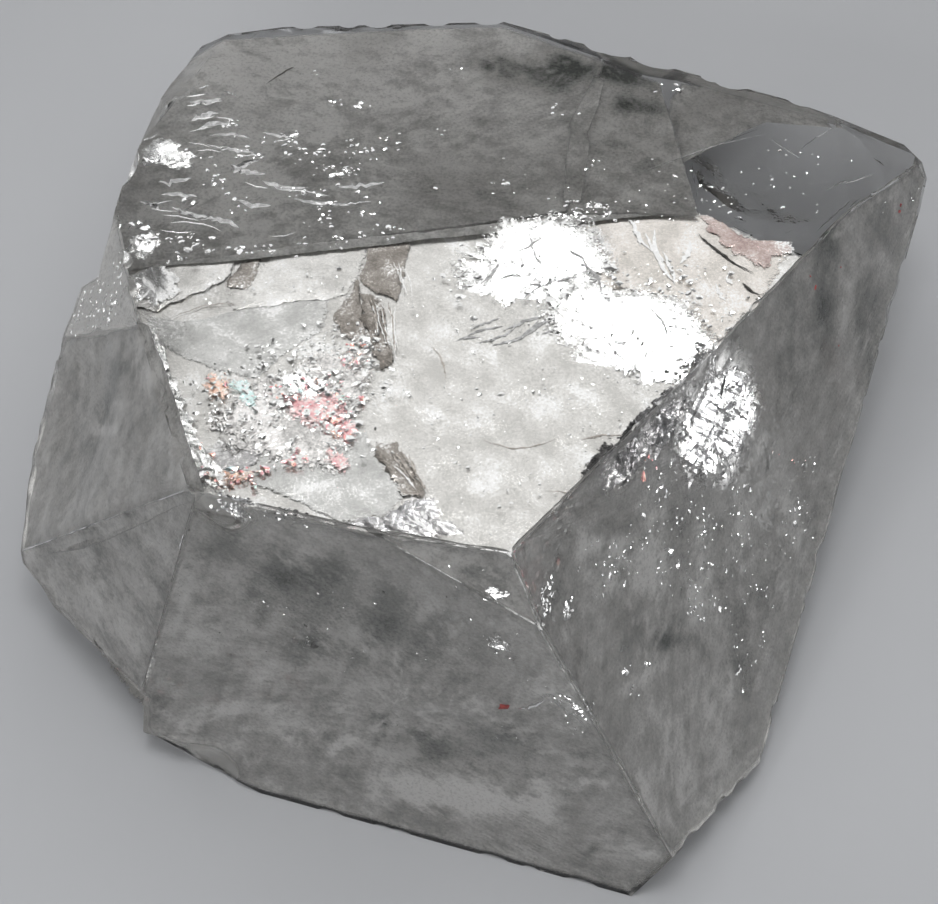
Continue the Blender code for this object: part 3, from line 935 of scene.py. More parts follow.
face_veil("veil_right", "right", 0.45, milk, [
    ((9.0, -13.4, 10.9), (9.3, -13.7, 10.0), 0.8, 0.3, 0.4),
    ((7.3, -14.0, 13.5), (7.4, -14.4, 12.9), 0.3, 0.3, 0.6),
    ((5.3, -15.5, 15.9), (5.5, -15.8, 15.1), 0.6, 0.2, 0.4),
    ((5.7, -19.0, 11.9), (6.9, -17.6, 10.9), 0.3, 0.25, 0.4),
    ((6.9, -17.6, 10.9), (7.9, -16.4, 10.1), 0.3, 0.2, 0.3),
    ((11.1, -14.6, 6.0), (11.2, -15.6, 4.7), 0.25, 0.25, 0.4),
    ((12.6, -13.3, 4.2), (12.4, -14.1, 3.9), 0.25, 0.2, 0.3),
    ((6.6, -21.1, 8.2), (7.4, -22.2, 5.7), 0.35, 0.4, 0.6),
    ((7.2, -18.5, 9.6), (7.6, -18.7, 8.5), 0.3, 0.2, 0.35),
    ((7.9, -15.6, 10.9), (9.2, -14.8, 9.3), 0.7, 0.2, -0.18),
    ((9.8, -14.8, 8.2), (11.4, -13.9, 5.9), 0.55, 0.2, -0.2),
    ((7.3, -16.1, 11.5), (7.9, -16.0, 10.5), 0.5, 0.15, -0.3),
    ((15.9, 4.3, 14.4), (16.5, 4.4, 13.5), 0.8, 0.2, -0.25),
    ((18.2, 5.4, 11.2), (19.5, 6.4, 9.9), 0.8, 0.15, 0.3),
    ((11.2, -8.5, 11.3), (11.8, -10.1, 8.8), 0.9, 0.1, 0.25),
    ((14.1, -6.3, 8.0), (14.7, -7.2, 6.0), 0.8, 0.1, 0.25),
    ((9.5, -11.2, 12.1), (9.7, -12.3, 10.5), 0.9, 0.1, 0.2),
    ((6.5, -12.1, 16.6), (7.5, -13.3, 13.7), 0.9, 0.1, 0.12),
    ((9.5, -16.6, 7.0), (11.6, -17.9, 1.9), 2.0, 0.15, 0.18),
    ((13.5, -0.9, 14.2), (14.6, -1.7, 11.3), 1.6, 0.1, -0.12),
    ((12.6, -10.9, 6.5), (14.2, -8.3, 6.0), 0.8, 0.1, -0.12),
    ((8.6, -19.3, 6.3), (9.6, -20.6, 3.1), 1.6, 0.12, 0.15),
    ((18.4, 7.7, 13.1), (19.3, 7.4, 11.1), 0.8, 0.1, -0.15),
    ((6.1, -15.7, 14.1), (6.6, -17.0, 12.1), 0.8, 0.05, -0.15),
    ((4.3, -17.1, 16.3), (4.7, -18.0, 14.6), 1.0, 0.05, 0.1),
    ((10.5, -12.1, 9.3), (11.5, -12.4, 7.1), 0.8, 0.15, -0.15),
    ((4.1, -15.6, 18.3), (5.7, -14.5, 16.3), 0.5, 0.3, 0.6),
    ((5.7, -14.5, 16.3), (7.3, -13.6, 14.1), 0.6, 0.3, 0.5),
    ((7.8, -13.9, 12.9), (5.2, -16.0, 15.8), 0.5, 0.2, 0.35),
    ((9.1, -13.6, 10.8), (9.5, -10.9, 12.5), 0.7, 0.1, 0.15),
    ((5.6, -10.9, 18.0), (7.6, -9.9, 15.6), 0.9, -0.1, 0.2),
    ((14.6, 1.3, 14.3), (19.1, 3.7, 8.1), 2.2, 0.05, -0.14),
    ((9.8, -5.2, 15.4), (9.4, -7.6, 14.6), 1.9, -1.2, 0.0),
    ((11.4, -4.6, 13.6), (10.4, -6.6, 13.2), 1.5, -1.0, 0.0),
    ((8.6, -7.4, 17.2), (5.0, -12.2, 18.6), 0.9, -0.9, 0.0),
], cover=0.68, shade=0.47, fade=0.10, seed=32, rise=0.28)
face_veil("veil_left", "left_mid", 0.75, milk, [
    ((-17.7, -5.3, 12.2), (-16.2, -7.1, 14.6), 0.25, 0.25, 0.5),
    ((-17.3, -3.8, 13.1), (-16.5, -5.2, 14.4), 2.0, 0.05, -0.15),
    ((-20.5, -2.7, 7.7), (-20.1, -1.1, 8.7), 1.0, 0.1, 0.15),
    ((-17.2, -1.9, 13.6), (-15.7, -5.1, 15.7), 1.0, 0.05, -0.12),
    ((-19.1, 0.5, 10.9), (-16.0, -3.2, 15.4), 0.6, 0.15, 0.12),
], cover=0.85, shade=0.5, fade=0.10, seed=33, lap=(0.0, -0.8, 0.0))
face_veil("veil_left_low", "left_low", 0.45, milk, [
    ((-21.4, -7.2, 7.0), (-21.2, -7.6, 6.4), 0.5, 0.3, 0.5),
    ((-17.6, -11.6, 7.9), (-17.1, -12.3, 7.7), 0.8, 0.2, 0.2),
    ((-16.5, -13.0, 8.2), (-16.0, -13.7, 7.7), 0.8, 0.2, 0.15),
    ((-18.9, -8.5, 13.0), (-18.2, -10.4, 9.4), 1.6, 0.1, 0.1),
    ((-16.5, -11.8, 11.5), (-14.7, -14.1, 11.8), 1.6, 0.05, -0.1),
], cover=0.85, shade=0.50, fade=0.10, seed=34, rise=0.28)
face_veil("veil_shoulder", "shoulder", 0.4, milk, [
    ((-19.8, 3.1, 10.5), (-18.0, 1.1, 13.5), 0.8, 0.4, 0.5),
    ((-18.8, 1.0, 12.1), (-17.0, -1.5, 15.0), 0.6, 0.3, 0.4),
    ((-17.7, 1.4, 13.9), (-16.0, 0.5, 16.6), 0.7, 0.2, 0.3),
], cover=1.0, shade=1.0, fade=0.10, seed=35, mottle=(1.3, 0.4), haze=0.8, rise=0.2)
face_veil("veil_rear", "under_back", 1.05, milk, [
    ((-8.0, 15.7, 7.0), (-7.7, 14.3, 6.0), 0.45, 0.3, 0.45),
    ((-7.7, 14.3, 6.0), (-8.4, 13.5, 5.6), 0.4, 0.3, 0.45),
    ((-9.4, 13.3, 5.6), (-10.5, 13.4, 5.9), 0.35, 0.4, 0.6),
    ((-12.2, 11.4, 4.8), (-11.2, 12.8, 5.5), 1.1, 0.2, 0.35),
    ((-12.0, 9.1, 3.3), (-10.8, 8.4, 2.6), 1.2, 0.25, 0.32),
    ((-7.8, 19.1, 9.2), (-3.2, 15.8, 6.4), 2.4, 0.1, 0.12),
    ((-2.0, 18.3, 7.9), (-2.1, 17.3, 7.2), 0.5, 0.3, 0.35),
    ((-0.3, 18.4, 7.7), (-0.5, 17.0, 6.8), 0.5, 0.25, 0.35),
    ((-2.2, 21.2, 9.8), (-1.9, 20.5, 9.3), 0.8, 0.25, 0.3),
    ((-1.6, 16.6, 6.7), (-0.7, 15.8, 6.1), 0.5, 0.2, 0.25),
    ((-1.2, 17.5, 7.2), (-0.7, 17.2, 7.0), 0.5, 0.1, -0.25),
    ((0.8, 18.9, 7.8), (3.9, 18.0, 6.8), 1.2, 0.3, -0.65),
    ((4.0, 19.5, 7.8), (6.0, 18.8, 7.1), 1.0, 0.3, -0.65),
    ((-16.7, 9.6, 4.2), (-15.2, 9.3, 3.8), 0.9, 0.2, -0.1),
    ((-17.2, 12.5, 6.2), (-16.0, 11.9, 5.6), 0.6, 0.2, 0.25),
    ((-7.0, 19.5, 9.4), (-4.2, 22.1, 9.5), 1.4, 0.2, -0.2),
    ((-11.0, 21.8, 8.5), (-7.8, 20.5, 10.2), 1.2, 0.2, 0.05),
    ((-14.1, 17.7, 9.2), (-9.3, 19.0, 9.4), 1.5, 0.2, 0.2),
    ((-3.3, 10.5, 2.9), (1.8, 10.1, 1.9), 2.0, 0.1, -0.2),
    ((3.8, 13.5, 3.9), (5.5, 13.2, 3.7), 1.6, 0.1, -0.1),
    ((-5.3, 13.0, 4.9), (-0.7, 11.9, 3.5), 1.8, 0.1, -0.12),
    ((-13.1, 18.8, 9.8), (-12.3, 16.8, 8.3), 1.0, 0.1, 0.1),
    ((-3.5, 13.8, 5.1), (-3.0, 13.2, 4.6), 0.5, 0.15, 0.2),
    ((-12.3, 11.5, 4.4), (-10.9, 10.5, 3.8), 0.8, 0.2, 0.35),
    ((-13.8, 11.6, 4.6), (-12.0, 9.2, 3.2), 0.6, 0.1, 0.2),
    ((-9.5, 15.1, 6.5), (-9.1, 14.7, 6.3), 0.9, 0.1, 0.3),
    ((-12.6, 16.8, 8.1), (-11.1, 16.6, 7.7), 0.7, 0.1, 0.25),
    ((-14.8, 14.3, 6.8), (-14.1, 16.3, 8.0), 0.5, 0.15, 0.35),
    ((-13.0, 11.8, 4.8), (-11.1, 10.5, 3.8), 0.9, 0.1, 0.25),
    ((-15.4, 9.0, 3.4), (-14.4, 9.3, 3.4), 0.5, 0.15, 0.4),
    ((-17.4, 7.7, 2.8), (-16.6, 8.5, 3.2), 0.6, 0.2, 0.45),
    ((-14.3, 13.3, 6.1), (-12.8, 13.8, 6.1), 0.5, 0.15, 0.35),
    ((-15.2, 12.2, 5.2), (-11.5, 10.0, 3.6), 1.8, 0.1, 0.18),
    ((-16.8, 8.6, 3.3), (-12.5, 8.0, 2.6), 0.9, 0.1, 0.22),
    ((-12.9, 18.2, 9.1), (-7.8, 19.9, 9.4), 1.6, 0.1, 0.12),
], cover=0.8, shade=0.74, fade=0.15, seed=36)
face_veil("veil_rear_mid", "under_back_mid", 1.3, milk, [
    ((5.5, 19.2, 7.4), (7.1, 18.7, 7.0), 0.9, 0.3, -0.65),
    ((7.1, 16.8, 5.8), (10.1, 15.9, 5.7), 0.8, 0.35, -0.5),
    ((8.0, 18.4, 6.8), (11.0, 16.8, 6.8), 1.0, 0.2, -0.25),
    ((4.0, 16.0, 5.5), (8.0, 13.5, 3.7), 2.0, 0.1, -0.15),
], cover=0.8, shade=0.64, fade=0.15, seed=39, lap=(-0.9, 0.0, 0.0))
veil("veil_seam", level(0.9, [
    (-16.6, 5.1), (-13.2, 5.5), (-9.1, 6.2), (-2.7, 7.3), (3.7, 8.5), (7.7, 9.2), (9.6, 9.5),
    (9.6, 9.9), (7.7, 9.8), (3.7, 9.2), (-2.7, 8.0), (-9.1, 6.9), (-13.3, 6.2), (-16.4, 5.6),
]), UP, milk, [], cover=0.9, shade=0.72, fade=0.2, seed=45)
veil("veil_corner", [
    (9.2, 12.3, 2.2), (10.9, 13.3, 3.6), (13.2, 14.5, 5.5), (14.8, 15.3, 6.8), (16.2, 14.9, 7.2),
    (17.6, 14.4, 7.4), (17.4, 14.9, 7.7), (16.0, 15.7, 7.7), (14.1, 16.6, 7.3), (12.1, 17.6, 7.1),
    (10.2, 18.3, 6.6), (9.5, 17.2, 5.7), (9.2, 15.0, 4.0),
], facing("under_corner"), milk, [((9.9, 15.8, 4.8), (12.2, 17.0, 6.4), 0.9, 0.1, -0.25)],
    cover=0.85, shade=0.66, fade=0.2, seed=46)
veil("veil_join", [
    (5.7, 18.7, 7.4), (4.8, 16.5, 6.0), (4.2, 15.1, 5.1), (4.1, 12.8, 3.6), (3.9, 9.9, 1.8),
    (4.8, 9.9, 1.8), (5.3, 12.9, 3.7), (5.5, 15.2, 5.2), (5.9, 16.6, 6.1), (6.3, 18.4, 7.2),
], facing("under_back_mid"), milk, [((5.3, 17.8, 7.0), (5.6, 18.8, 7.6), 0.9, 0.1, -0.4)],
    cover=0.75, shade=0.56, fade=0.4, seed=47)

# Shell-shaped flashes at the left, and the silver patch and crinkled edge on the right.
film("conchoid_left", level(11.0, [
    (-16.9, 10.6), (-16.3, 11.8), (-15.4, 12.1), (-14.6, 10.9), (-13.9, 9.8), (-15.2, 9.6),
    (-16.2, 10.2),
]), glow, slope=KEY_SLOPE, spread=6.0, facet=0.5, seed=37, pitch=0.12, dish=0.15)
film("conchoid_low", level(12.6, [
    (-16.9, 2.6), (-16.7, 4.0), (-15.8, 4.6), (-15.2, 3.6), (-15.9, 2.4),
]), glow, slope=KEY_SLOPE, spread=6.0, facet=0.4, seed=38, pitch=0.12, dish=0.15)

SILVER = [
    (9.6, -4.6, 16.6), (10.9, -3.7, 15.0), (11.9, -3.5, 13.5), (12.2, -4.4, 12.0),
    (11.8, -5.9, 11.4), (10.5, -7.3, 12.5), (9.3, -8.6, 13.6), (8.2, -9.2, 14.9),
    (7.5, -9.6, 15.9), (7.7, -8.9, 16.2), (8.0, -8.1, 16.4), (8.7, -6.8, 16.3), (9.1, -6.0, 16.3),
]
film("silver_patch", SILVER, silver, normal=facing("right"),
    slope=flash_slope((10.0, -6.4, 14.2), "right"), steps=0.6, spread=6.5, facet=0.6, pitch=0.09,
    jag=0.2, seed=52)
film("edge_crinkle", [
    (3.8, -13.4, 19.6), (4.4, -12.3, 19.4), (6.3, -9.6, 18.5), (7.8, -7.4, 17.7),
    (8.8, -6.6, 16.8), (8.0, -8.3, 16.6), (7.4, -9.8, 16.2), (5.9, -11.6, 17.3),
    (4.5, -13.2, 18.5),
], ashen, normal=facing("right"), slope=flash_slope((6.5, -10.5, 17.4), "right"), steps=0.6,
    spread=14.0, facet=0.4, pitch=0.1, jag=0.15, seed=53)

# Flakes: glints in the window, then under the top, front, shoulder and right faces, and specks.
WINDOW_SPARK = level(1.1, [
    (-12.9, -3.1), (-9.9, -1.3), (-7.5, 0.1), (-6.1, -0.6), (-5.3, -2.6), (-7.0, -4.0),
    (-10.3, -4.0), (-11.6, -5.4), (-8.8, -4.7), (-8.4, -2.4), (-6.9, -6.6), (-12.2, -5.0),
])
flakes("glints_window", WINDOW_SPARK, "top", bright, 520, (0.9, 0.2), 0.11, seed=41)
flakes("shades_window", WINDOW_SPARK, "top", grey_skin, 60, (0.9, 0.2), 0.06, 8.0, seed=40)
flakes("glints_rainbow", level(1.3, [
    (-9.9, -3.3), (-9.2, -3.6), (-8.6, -3.1), (-7.6, -2.8), (-7.0, -4.0), (-6.2, -0.6),
    (-12.9, -2.7), (-6.9, -6.2), (-7.3, -5.4), (-9.0, -7.8), (-6.4, -1.4),
]), "top", rainbow, 90, (0.35, 0.15), 0.12, seed=42)
flakes("glints_rim", level(1.0, [
    (-14.5, -7.6), (-13.8, -7.8), (-13.2, -8.7), (-12.3, -9.3), (-11.2, -9.2), (-10.6, -8.7),
]), "top", rainbow, 60, (0.35, 0.15), 0.13, seed=55)
flakes("glints_pane", level(0.6, [
    (2.0, -2.9), (5.0, -4.9), (0.0, -7.9), (4.0, -0.9), (-2.0, -3.9), (9.0, 6.1), (12.0, 4.1),
    (-9.0, 5.2), (-15.0, 4.2), (-16.0, -2.9), (-15.0, -6.9), (-1.0, 1.1), (2.0, -9.9), (7.0, -3.4),
]), "top", bright, 700, (1.8, 0.1), 0.06, seed=43)
flakes("glints_glare", level(1.3, [
    (1.0, 6.1), (3.0, 4.1), (5.5, 4.3), (6.0, 0.6), (9.0, -2.4), (9.5, 4.1), (-1.0, 4.1),
    (10.0, 1.1),
]), "top", bright, 300, (1.1, 0.2), 0.12, seed=39)
TOP_DOTS = [
    (-8.0, 11.2, 10.6), (-8.0, 9.8, 11.1), (-7.7, 9.6, 11.1), (-6.8, 12.1, 10.4),
    (-6.5, 12.0, 10.4), (-6.1, 11.6, 10.5), (-6.2, 11.0, 10.7), (-5.8, 11.2, 10.6),
    (-5.5, 10.7, 10.8), (-7.4, 10.0, 11.0), (-6.9, 9.8, 11.0), (-6.5, 9.7, 11.1),
    (-6.4, 9.4, 11.2), (-6.7, 9.0, 11.3), (-10.2, 12.1, 10.4), (-9.8, 12.3, 10.4),
    (-9.4, 12.2, 10.4), (-9.5, 11.1, 10.7), (-9.0, 11.5, 10.6), (-8.8, 10.6, 10.8),
    (-12.0, 10.8, 10.9), (-11.6, 11.0, 10.8), (-11.3, 10.4, 11.0), (-9.1, 7.8, 11.7),
    (-8.6, 7.8, 11.7), (-7.9, 6.6, 12.1), (-7.4, 6.2, 12.2), (-7.6, 7.1, 11.9), (-6.0, 7.4, 11.8),
    (-5.4, 6.8, 11.9), (-5.5, 6.2, 12.1), (-8.5, 4.9, 12.6), (-7.7, 5.2, 12.5), (-5.6, 4.5, 12.6),
    (-4.9, 4.8, 12.5), (-4.3, 4.9, 12.5), (-12.0, 7.6, 11.8), (-11.7, 7.4, 11.9),
    (-12.7, 13.3, 10.1), (-12.4, 13.5, 10.1), (-11.8, 6.1, 12.3), (-13.2, 3.8, 13.0),
    (-14.1, 3.8, 13.0), (-14.5, 3.7, 13.0), (-13.8, 3.1, 13.2), (-13.6, 3.5, 13.1),
    (-10.3, 3.4, 13.0), (-11.4, 3.0, 13.2), (-11.4, 12.0, 10.5), (-13.3, 8.5, 11.6),
    (-13.0, 9.0, 11.4), (-13.9, 10.8, 10.9), (-13.7, 10.5, 11.0), (-7.2, 15.6, 9.3),
    (-8.8, 18.2, 8.6), (-7.6, 20.0, 8.0), (-10.3, 21.8, 7.5), (-6.1, 15.4, 9.3),
    (-4.6, 12.1, 10.3),
]
flakes("glints_top_left", TOP_DOTS, "top", bright, 190, (0.30, 0.2), 0.10, seed=44)
flakes("glints_top_blobs", [
    (-15.0, 11.3, 10.8), (-14.7, 10.7, 10.9), (-16.1, 10.3, 11.1), (-15.9, 11.0, 10.9),
    (-14.2, 6.7, 12.2), (-16.2, 4.3, 12.9), (-16.5, 4.8, 12.8), (-16.0, 3.9, 13.0),
    (-8.0, 11.1, 10.6),
], "top", bright, 26, (0.22, 0.1), 0.20, seed=51)
flakes("glints_seam", level(3.6, [
    (4.0, 8.4), (4.6, 8.9), (5.1, 9.2), (5.6, 9.0), (6.2, 8.6), (4.9, 8.5), (2.4, 7.7), (4.4, 8.2),
    (-13.6, 5.5), (-12.2, 5.9), (-10.6, 5.8), (-9.0, 6.1), (-7.2, 6.3), (-15.2, 5.2),
]), "top", bright, 90, (0.30, 0.1), 0.10, seed=52)
flakes("glints_top_right", [
    (-0.8, 18.7, 8.1), (-1.9, 13.0, 8.8), (-1.5, 9.0, 9.0), (1.2, 9.8, 9.7), (2.3, 9.7, 9.8),
    (5.6, 10.6, 9.4), (8.4, 9.7, 9.6), (9.6, 17.1, 8.4), (4.4, 15.5, 8.0), (4.0, 9.0, 7.0),
    (1.0, 9.6, 7.0), (6.5, 7.7, 8.0), (3.5, 8.4, 8.0), (5.0, 8.3, 8.0),
], "top", bright, 44, (0.5, 0.3), 0.09, seed=45)
flakes("glints_clear", [
    (16.2, 11.0, 10.7), (13.4, 8.9, 11.4), (12.0, 8.6, 11.5), (12.6, 9.1, 11.4), (11.5, 8.2, 11.7),
    (14.4, 9.1, 11.3), (10.0, 8.2, 11.7), (10.4, 7.0, 12.1), (11.1, 7.4, 11.9), (12.1, 7.0, 12.0),
    (16.3, 6.2, 12.2), (14.6, 3.0, 13.2), (14.8, 8.3, 11.6), (13.7, 6.6, 12.1), (10.8, 9.1, 11.4),
    (8.4, 6.1, 12.4), (8.8, 5.6, 12.5), (8.4, 9.5, 11.3), (17.6, 13.5, 10.0), (15.1, 11.7, 10.5),
    (9.3, 7.9, 11.8),
], "top", bright, 60, (0.7, 0.2), 0.055, seed=56)
flakes("glints_front", [
    (0.4, -18.6, 19.5), (2.5, -19.2, 20.6), (2.6, -19.3, 19.0), (0.7, -19.0, 16.1),
], "front", bright, 110, (0.2, 0.03), 0.17, seed=46)
flakes("glints_tip", [
    (2.5, -18.3, 19.0), (2.4, -19.0, 18.5), (2.3, -18.8, 18.8), (3.3, -18.3, 17.3),
], "right", bright, 70, (0.2, 0.03), 0.14, seed=64)
flakes("glints_front_line", [
    (3.6, -20.2, 13.5), (4.5, -20.6, 12.6), (4.0, -20.4, 13.1),
], "front", bright, 30, (0.2, 0.03), 0.11, 6.0, seed=61)
flakes("glints_shoulder", [
    (-19.2, 1.3, 11.8), (-18.6, 1.9, 12.7), (-18.1, 1.7, 13.6), (-17.1, 0.0, 15.0),
    (-17.3, -1.2, 14.7), (-16.8, 1.3, 15.6), (-17.7, 0.2, 14.1), (-18.1, 0.2, 13.4),
], "shoulder", bright, 130, (0.6, 0.03), 0.10, 8.0, seed=62)
flakes("glints_front_left", [
    (-7.7, -15.7, 16.9), (-6.5, -16.2, 16.4), (-9.1, -15.6, 13.9), (-5.5, -16.6, 14.8),
    (-5.0, -16.9, 12.9), (-2.8, -17.5, 13.7), (-0.3, -18.1, 16.7), (1.8, -18.9, 15.2),
    (2.5, -18.9, 16.8), (3.1, -19.4, 13.9), (3.9, -19.8, 12.3), (4.5, -20.0, 12.0),
    (1.6, -19.3, 9.6), (3.7, -19.6, 13.1), (-0.7, -17.7, 19.8),
], "front", bright, 60, (0.7, 0.03), 0.06, seed=47, lift=0.55)
flakes("glints_front_patch", [
    (-10.9, -15.0, 20.4), (-10.5, -15.1, 20.4), (-10.1, -15.2, 20.4),
], "front", bright, 90, (0.2, 0.03), 0.15, 5.0, seed=48)
flakes("glints_front_faint", [
    (-8.3, -15.8, 21.2), (-7.8, -15.9, 21.0), (-9.0, -15.6, 21.1),
], "front", grey_skin, 30, (0.3, 0.03), 0.10, 6.0, seed=63)
RIGHT_DOTS = [
    (8.7, -10.4, 12.9), (9.5, -9.8, 12.0), (6.8, -11.1, 15.8), (7.0, -11.0, 15.5),
    (6.3, -11.8, 16.1), (10.5, -9.3, 10.7), (11.0, -9.0, 9.9), (11.3, -8.6, 9.8),
    (13.9, -6.2, 7.2), (14.2, -5.8, 7.1), (14.5, -6.0, 6.3), (13.4, -7.7, 6.8), (12.3, -9.2, 7.3),
    (11.5, -9.3, 8.7), (12.6, -10.0, 6.1), (9.3, -11.3, 11.1), (5.2, -15.1, 15.2),
    (5.0, -15.4, 15.1), (4.5, -16.0, 15.5), (5.5, -15.0, 14.7), (7.1, -13.6, 13.0),
    (7.2, -13.9, 12.6), (8.9, -13.1, 10.1), (9.1, -13.3, 9.5), (8.8, -12.9, 10.6),
    (9.6, -12.5, 9.4), (11.1, -11.5, 7.6), (10.1, -11.8, 9.1), (7.3, -11.7, 14.4),
    (7.7, -11.7, 13.7), (6.6, -13.0, 14.5), (6.0, -13.3, 15.3), (5.4, -13.9, 15.8),
    (4.9, -14.6, 16.1), (12.2, -12.2, 4.7), (10.7, -12.9, 7.0), (5.4, -18.3, 11.7),
    (6.2, -17.5, 10.9), (11.1, -13.9, 5.3), (3.6, -15.8, 17.5), (4.0, -15.0, 17.3),
    (11.7, -10.7, 7.1), (10.4, -10.8, 9.5), (9.9, -10.6, 10.6), (8.1, -12.4, 12.3),
    (8.5, -12.6, 11.4), (11.2, -7.3, 11.1), (14.5, -4.0, 8.0), (9.0, -10.1, 12.7),
    (11.0, -8.2, 10.8), (20.9, 10.5, 10.1), (20.5, 9.8, 10.3), (20.2, 9.5, 10.5),
    (18.6, 8.1, 12.1),
]
flakes("glints_right", RIGHT_DOTS, "right", bright, 330, (0.55, 0.03), 0.075, 4.0, seed=49,
    lift=0.7)
flakes("glints_edge", [
    (4.5, -12.5, 19.0), (5.1, -11.9, 18.6), (5.5, -11.3, 18.3), (6.3, -10.3, 17.7),
    (6.9, -10.2, 16.7), (7.7, -9.2, 16.2), (6.0, -11.4, 17.2), (6.7, -10.7, 16.5),
    (4.7, -12.6, 18.5), (7.3, -9.1, 17.0), (8.1, -7.9, 16.7), (5.1, -12.3, 18.1),
], "right", bright, 110, (0.4, 0.1), 0.09, 4.0, seed=57)
flakes("glints_right_colour", [
    (12.8, -5.0, 10.5), (13.7, -4.7, 8.9), (14.3, -4.4, 8.2), (6.5, -10.3, 17.1),
], "right", rainbow, 8, (0.3, 0.03), 0.09, seed=50, lift=0.7)
flakes("glints_silver", SILVER + [(10.0, -6.4, 14.2), (9.4, -7.2, 14.8), (10.8, -5.2, 13.6)],
    "right", bright, 130, (0.6, 0.08), 0.13, 4.0, seed=54)
film("iron_fleck", [
    (0.7, -19.45, 11.6), (1.15, -19.5, 11.75), (1.2, -19.45, 12.1), (0.8, -19.4, 12.0),
], iron, lift=0.2, normal=facing("front"), jag=0.02, pitch=0.08, seed=60)
flakes("specks_dark", [
    (-12.2, -14.4, 19.6), (-13.9, -14.9, 9.4), (-10.7, -15.7, 11.3), (-11.9, -15.4, 10.2),
    (-9.3, -16.1, 11.0), (-1.7, -17.8, 18.1), (-3.2, -18.0, 11.3), (-5.1, -17.6, 9.4),
    (-9.8, -15.8, 11.9), (-7.0, -16.4, 15.0), (-12.0, -14.9, 15.0),
], "front", dark, 26, (1.5, 0.03), 0.075, 20.0, seed=58, lift=0.55)
flakes("specks_red", [
    (15.7, 1.4, 10.9), (16.5, 4.2, 12.1), (19.7, 8.4, 10.1), (14.5, 1.7, 13.4),
], "right", iron, 3, (0.6, 0.03), 0.09, 20.0, seed=59, lift=0.7)

# Needles: streaks, feathers, cracks and thin lines.
needles("streaks_top", [
    ((-14.4, 16.8, 8.6), (-13.9, 17.1, 8.5)), ((-15.0, 16.0, 8.8), (-14.0, 16.3, 8.7)),
    ((-13.2, 16.6, 8.6), (-12.4, 16.1, 8.8)), ((-13.7, 15.5, 9.0), (-13.1, 15.7, 8.9)),
    ((-14.9, 15.2, 9.1), (-14.2, 15.5, 9.0)), ((-14.5, 14.1, 9.4), (-13.4, 14.4, 9.3)),
    ((-14.6, 12.9, 9.8), (-13.4, 13.4, 9.6)), ((-13.4, 14.3, 9.3), (-12.5, 14.1, 9.4)),
    ((-14.6, 12.0, 10.0), (-13.4, 11.6, 10.1)), ((-13.7, 11.9, 10.1), (-12.5, 11.7, 10.1)),
    ((-14.1, 11.3, 10.2), (-12.9, 11.2, 10.2)), ((-16.1, 6.8, 11.6), (-15.0, 7.1, 11.5)),
    ((-16.0, 6.4, 11.8), (-14.6, 6.2, 11.8)), ((-15.4, 5.9, 11.9), (-13.5, 5.4, 12.0)),
    ((-15.0, 5.3, 12.0), (-12.4, 4.6, 12.2)), ((-15.4, 4.7, 12.3), (-13.7, 4.6, 12.2)),
    ((-14.4, 6.2, 11.8), (-13.7, 7.0, 11.5)), ((-14.3, 6.0, 11.8), (-13.7, 5.6, 11.9)),
    ((-10.3, 12.2, 9.9), (-9.1, 12.7, 9.7)), ((-10.2, 4.3, 12.3), (-8.9, 4.7, 12.1)),
    ((-12.2, 10.9, 10.3), (-10.9, 11.1, 10.2)), ((-11.6, 8.7, 11.0), (-10.4, 8.2, 11.1)),
    ((-9.9, 8.1, 11.1), (-7.4, 7.6, 11.2)), ((-7.4, 6.9, 11.4), (-5.4, 7.3, 11.2)),
    ((-16.9, 4.6, 12.3), (-16.4, 5.5, 12.0)), ((-16.9, 2.8, 12.9), (-16.5, 3.9, 12.5)),
], bright, 0.10, flashing((-12.0, 9.0, 11.0), "top"), bow=0.14, seed=71)
needles("streaks_soft", [
    ((-14.6, 13.9, 9.4), (-13.2, 14.6, 9.2)), ((-14.2, 13.2, 9.6), (-12.6, 13.6, 9.5)),
    ((-13.6, 12.6, 9.8), (-11.5, 12.4, 9.9)), ((-13.0, 11.4, 10.1), (-11.2, 11.0, 10.2)),
    ((-12.4, 10.2, 10.5), (-10.6, 9.4, 10.7)), ((-12.2, 9.4, 10.7), (-11.0, 10.6, 10.4)),
    ((-15.6, 7.6, 11.3), (-13.8, 7.4, 11.4)), ((-15.8, 8.6, 11.0), (-14.2, 9.0, 10.9)),
    ((-15.0, 6.6, 11.6), (-13.0, 5.8, 11.8)), ((-13.6, 5.6, 11.9), (-11.6, 4.9, 12.1)),
    ((-10.8, 8.9, 10.8), (-8.6, 8.3, 11.0)), ((-9.2, 7.4, 11.2), (-6.4, 6.9, 11.4)),
    ((-7.2, 8.4, 10.9), (-4.8, 8.9, 10.7)), ((-11.0, 13.0, 9.6), (-9.4, 12.6, 9.7)),
    ((-14.8, 15.6, 8.8), (-13.2, 15.9, 8.8)), ((-16.6, 7.0, 11.4), (-15.4, 6.2, 11.7)),
    ((-12.0, 7.2, 11.3), (-10.2, 6.8, 11.4)),
], grey_skin, 0.34, bow=0.2, seed=84)
needles("streaks_warm", level(0.6, [
    ((7.1, 9.3), (7.7, 7.1)), ((7.5, 9.1), (8.3, 6.7)), ((8.0, 8.1), (9.0, 5.8)),
    ((8.5, 8.4), (9.3, 4.4)), ((8.8, 6.7), (9.3, 4.3)), ((11.3, 4.4), (11.8, 3.1)),
    ((11.9, 5.0), (12.1, 4.3)), ((5.7, 8.2), (6.0, 7.0)), ((4.0, 9.2), (3.5, 8.0)),
    ((10.2, 7.5), (9.6, 5.8)),
]), bright, 0.22, flashing((8.5, 6.5, 1.2), "top"), bow=0.12, seed=72)
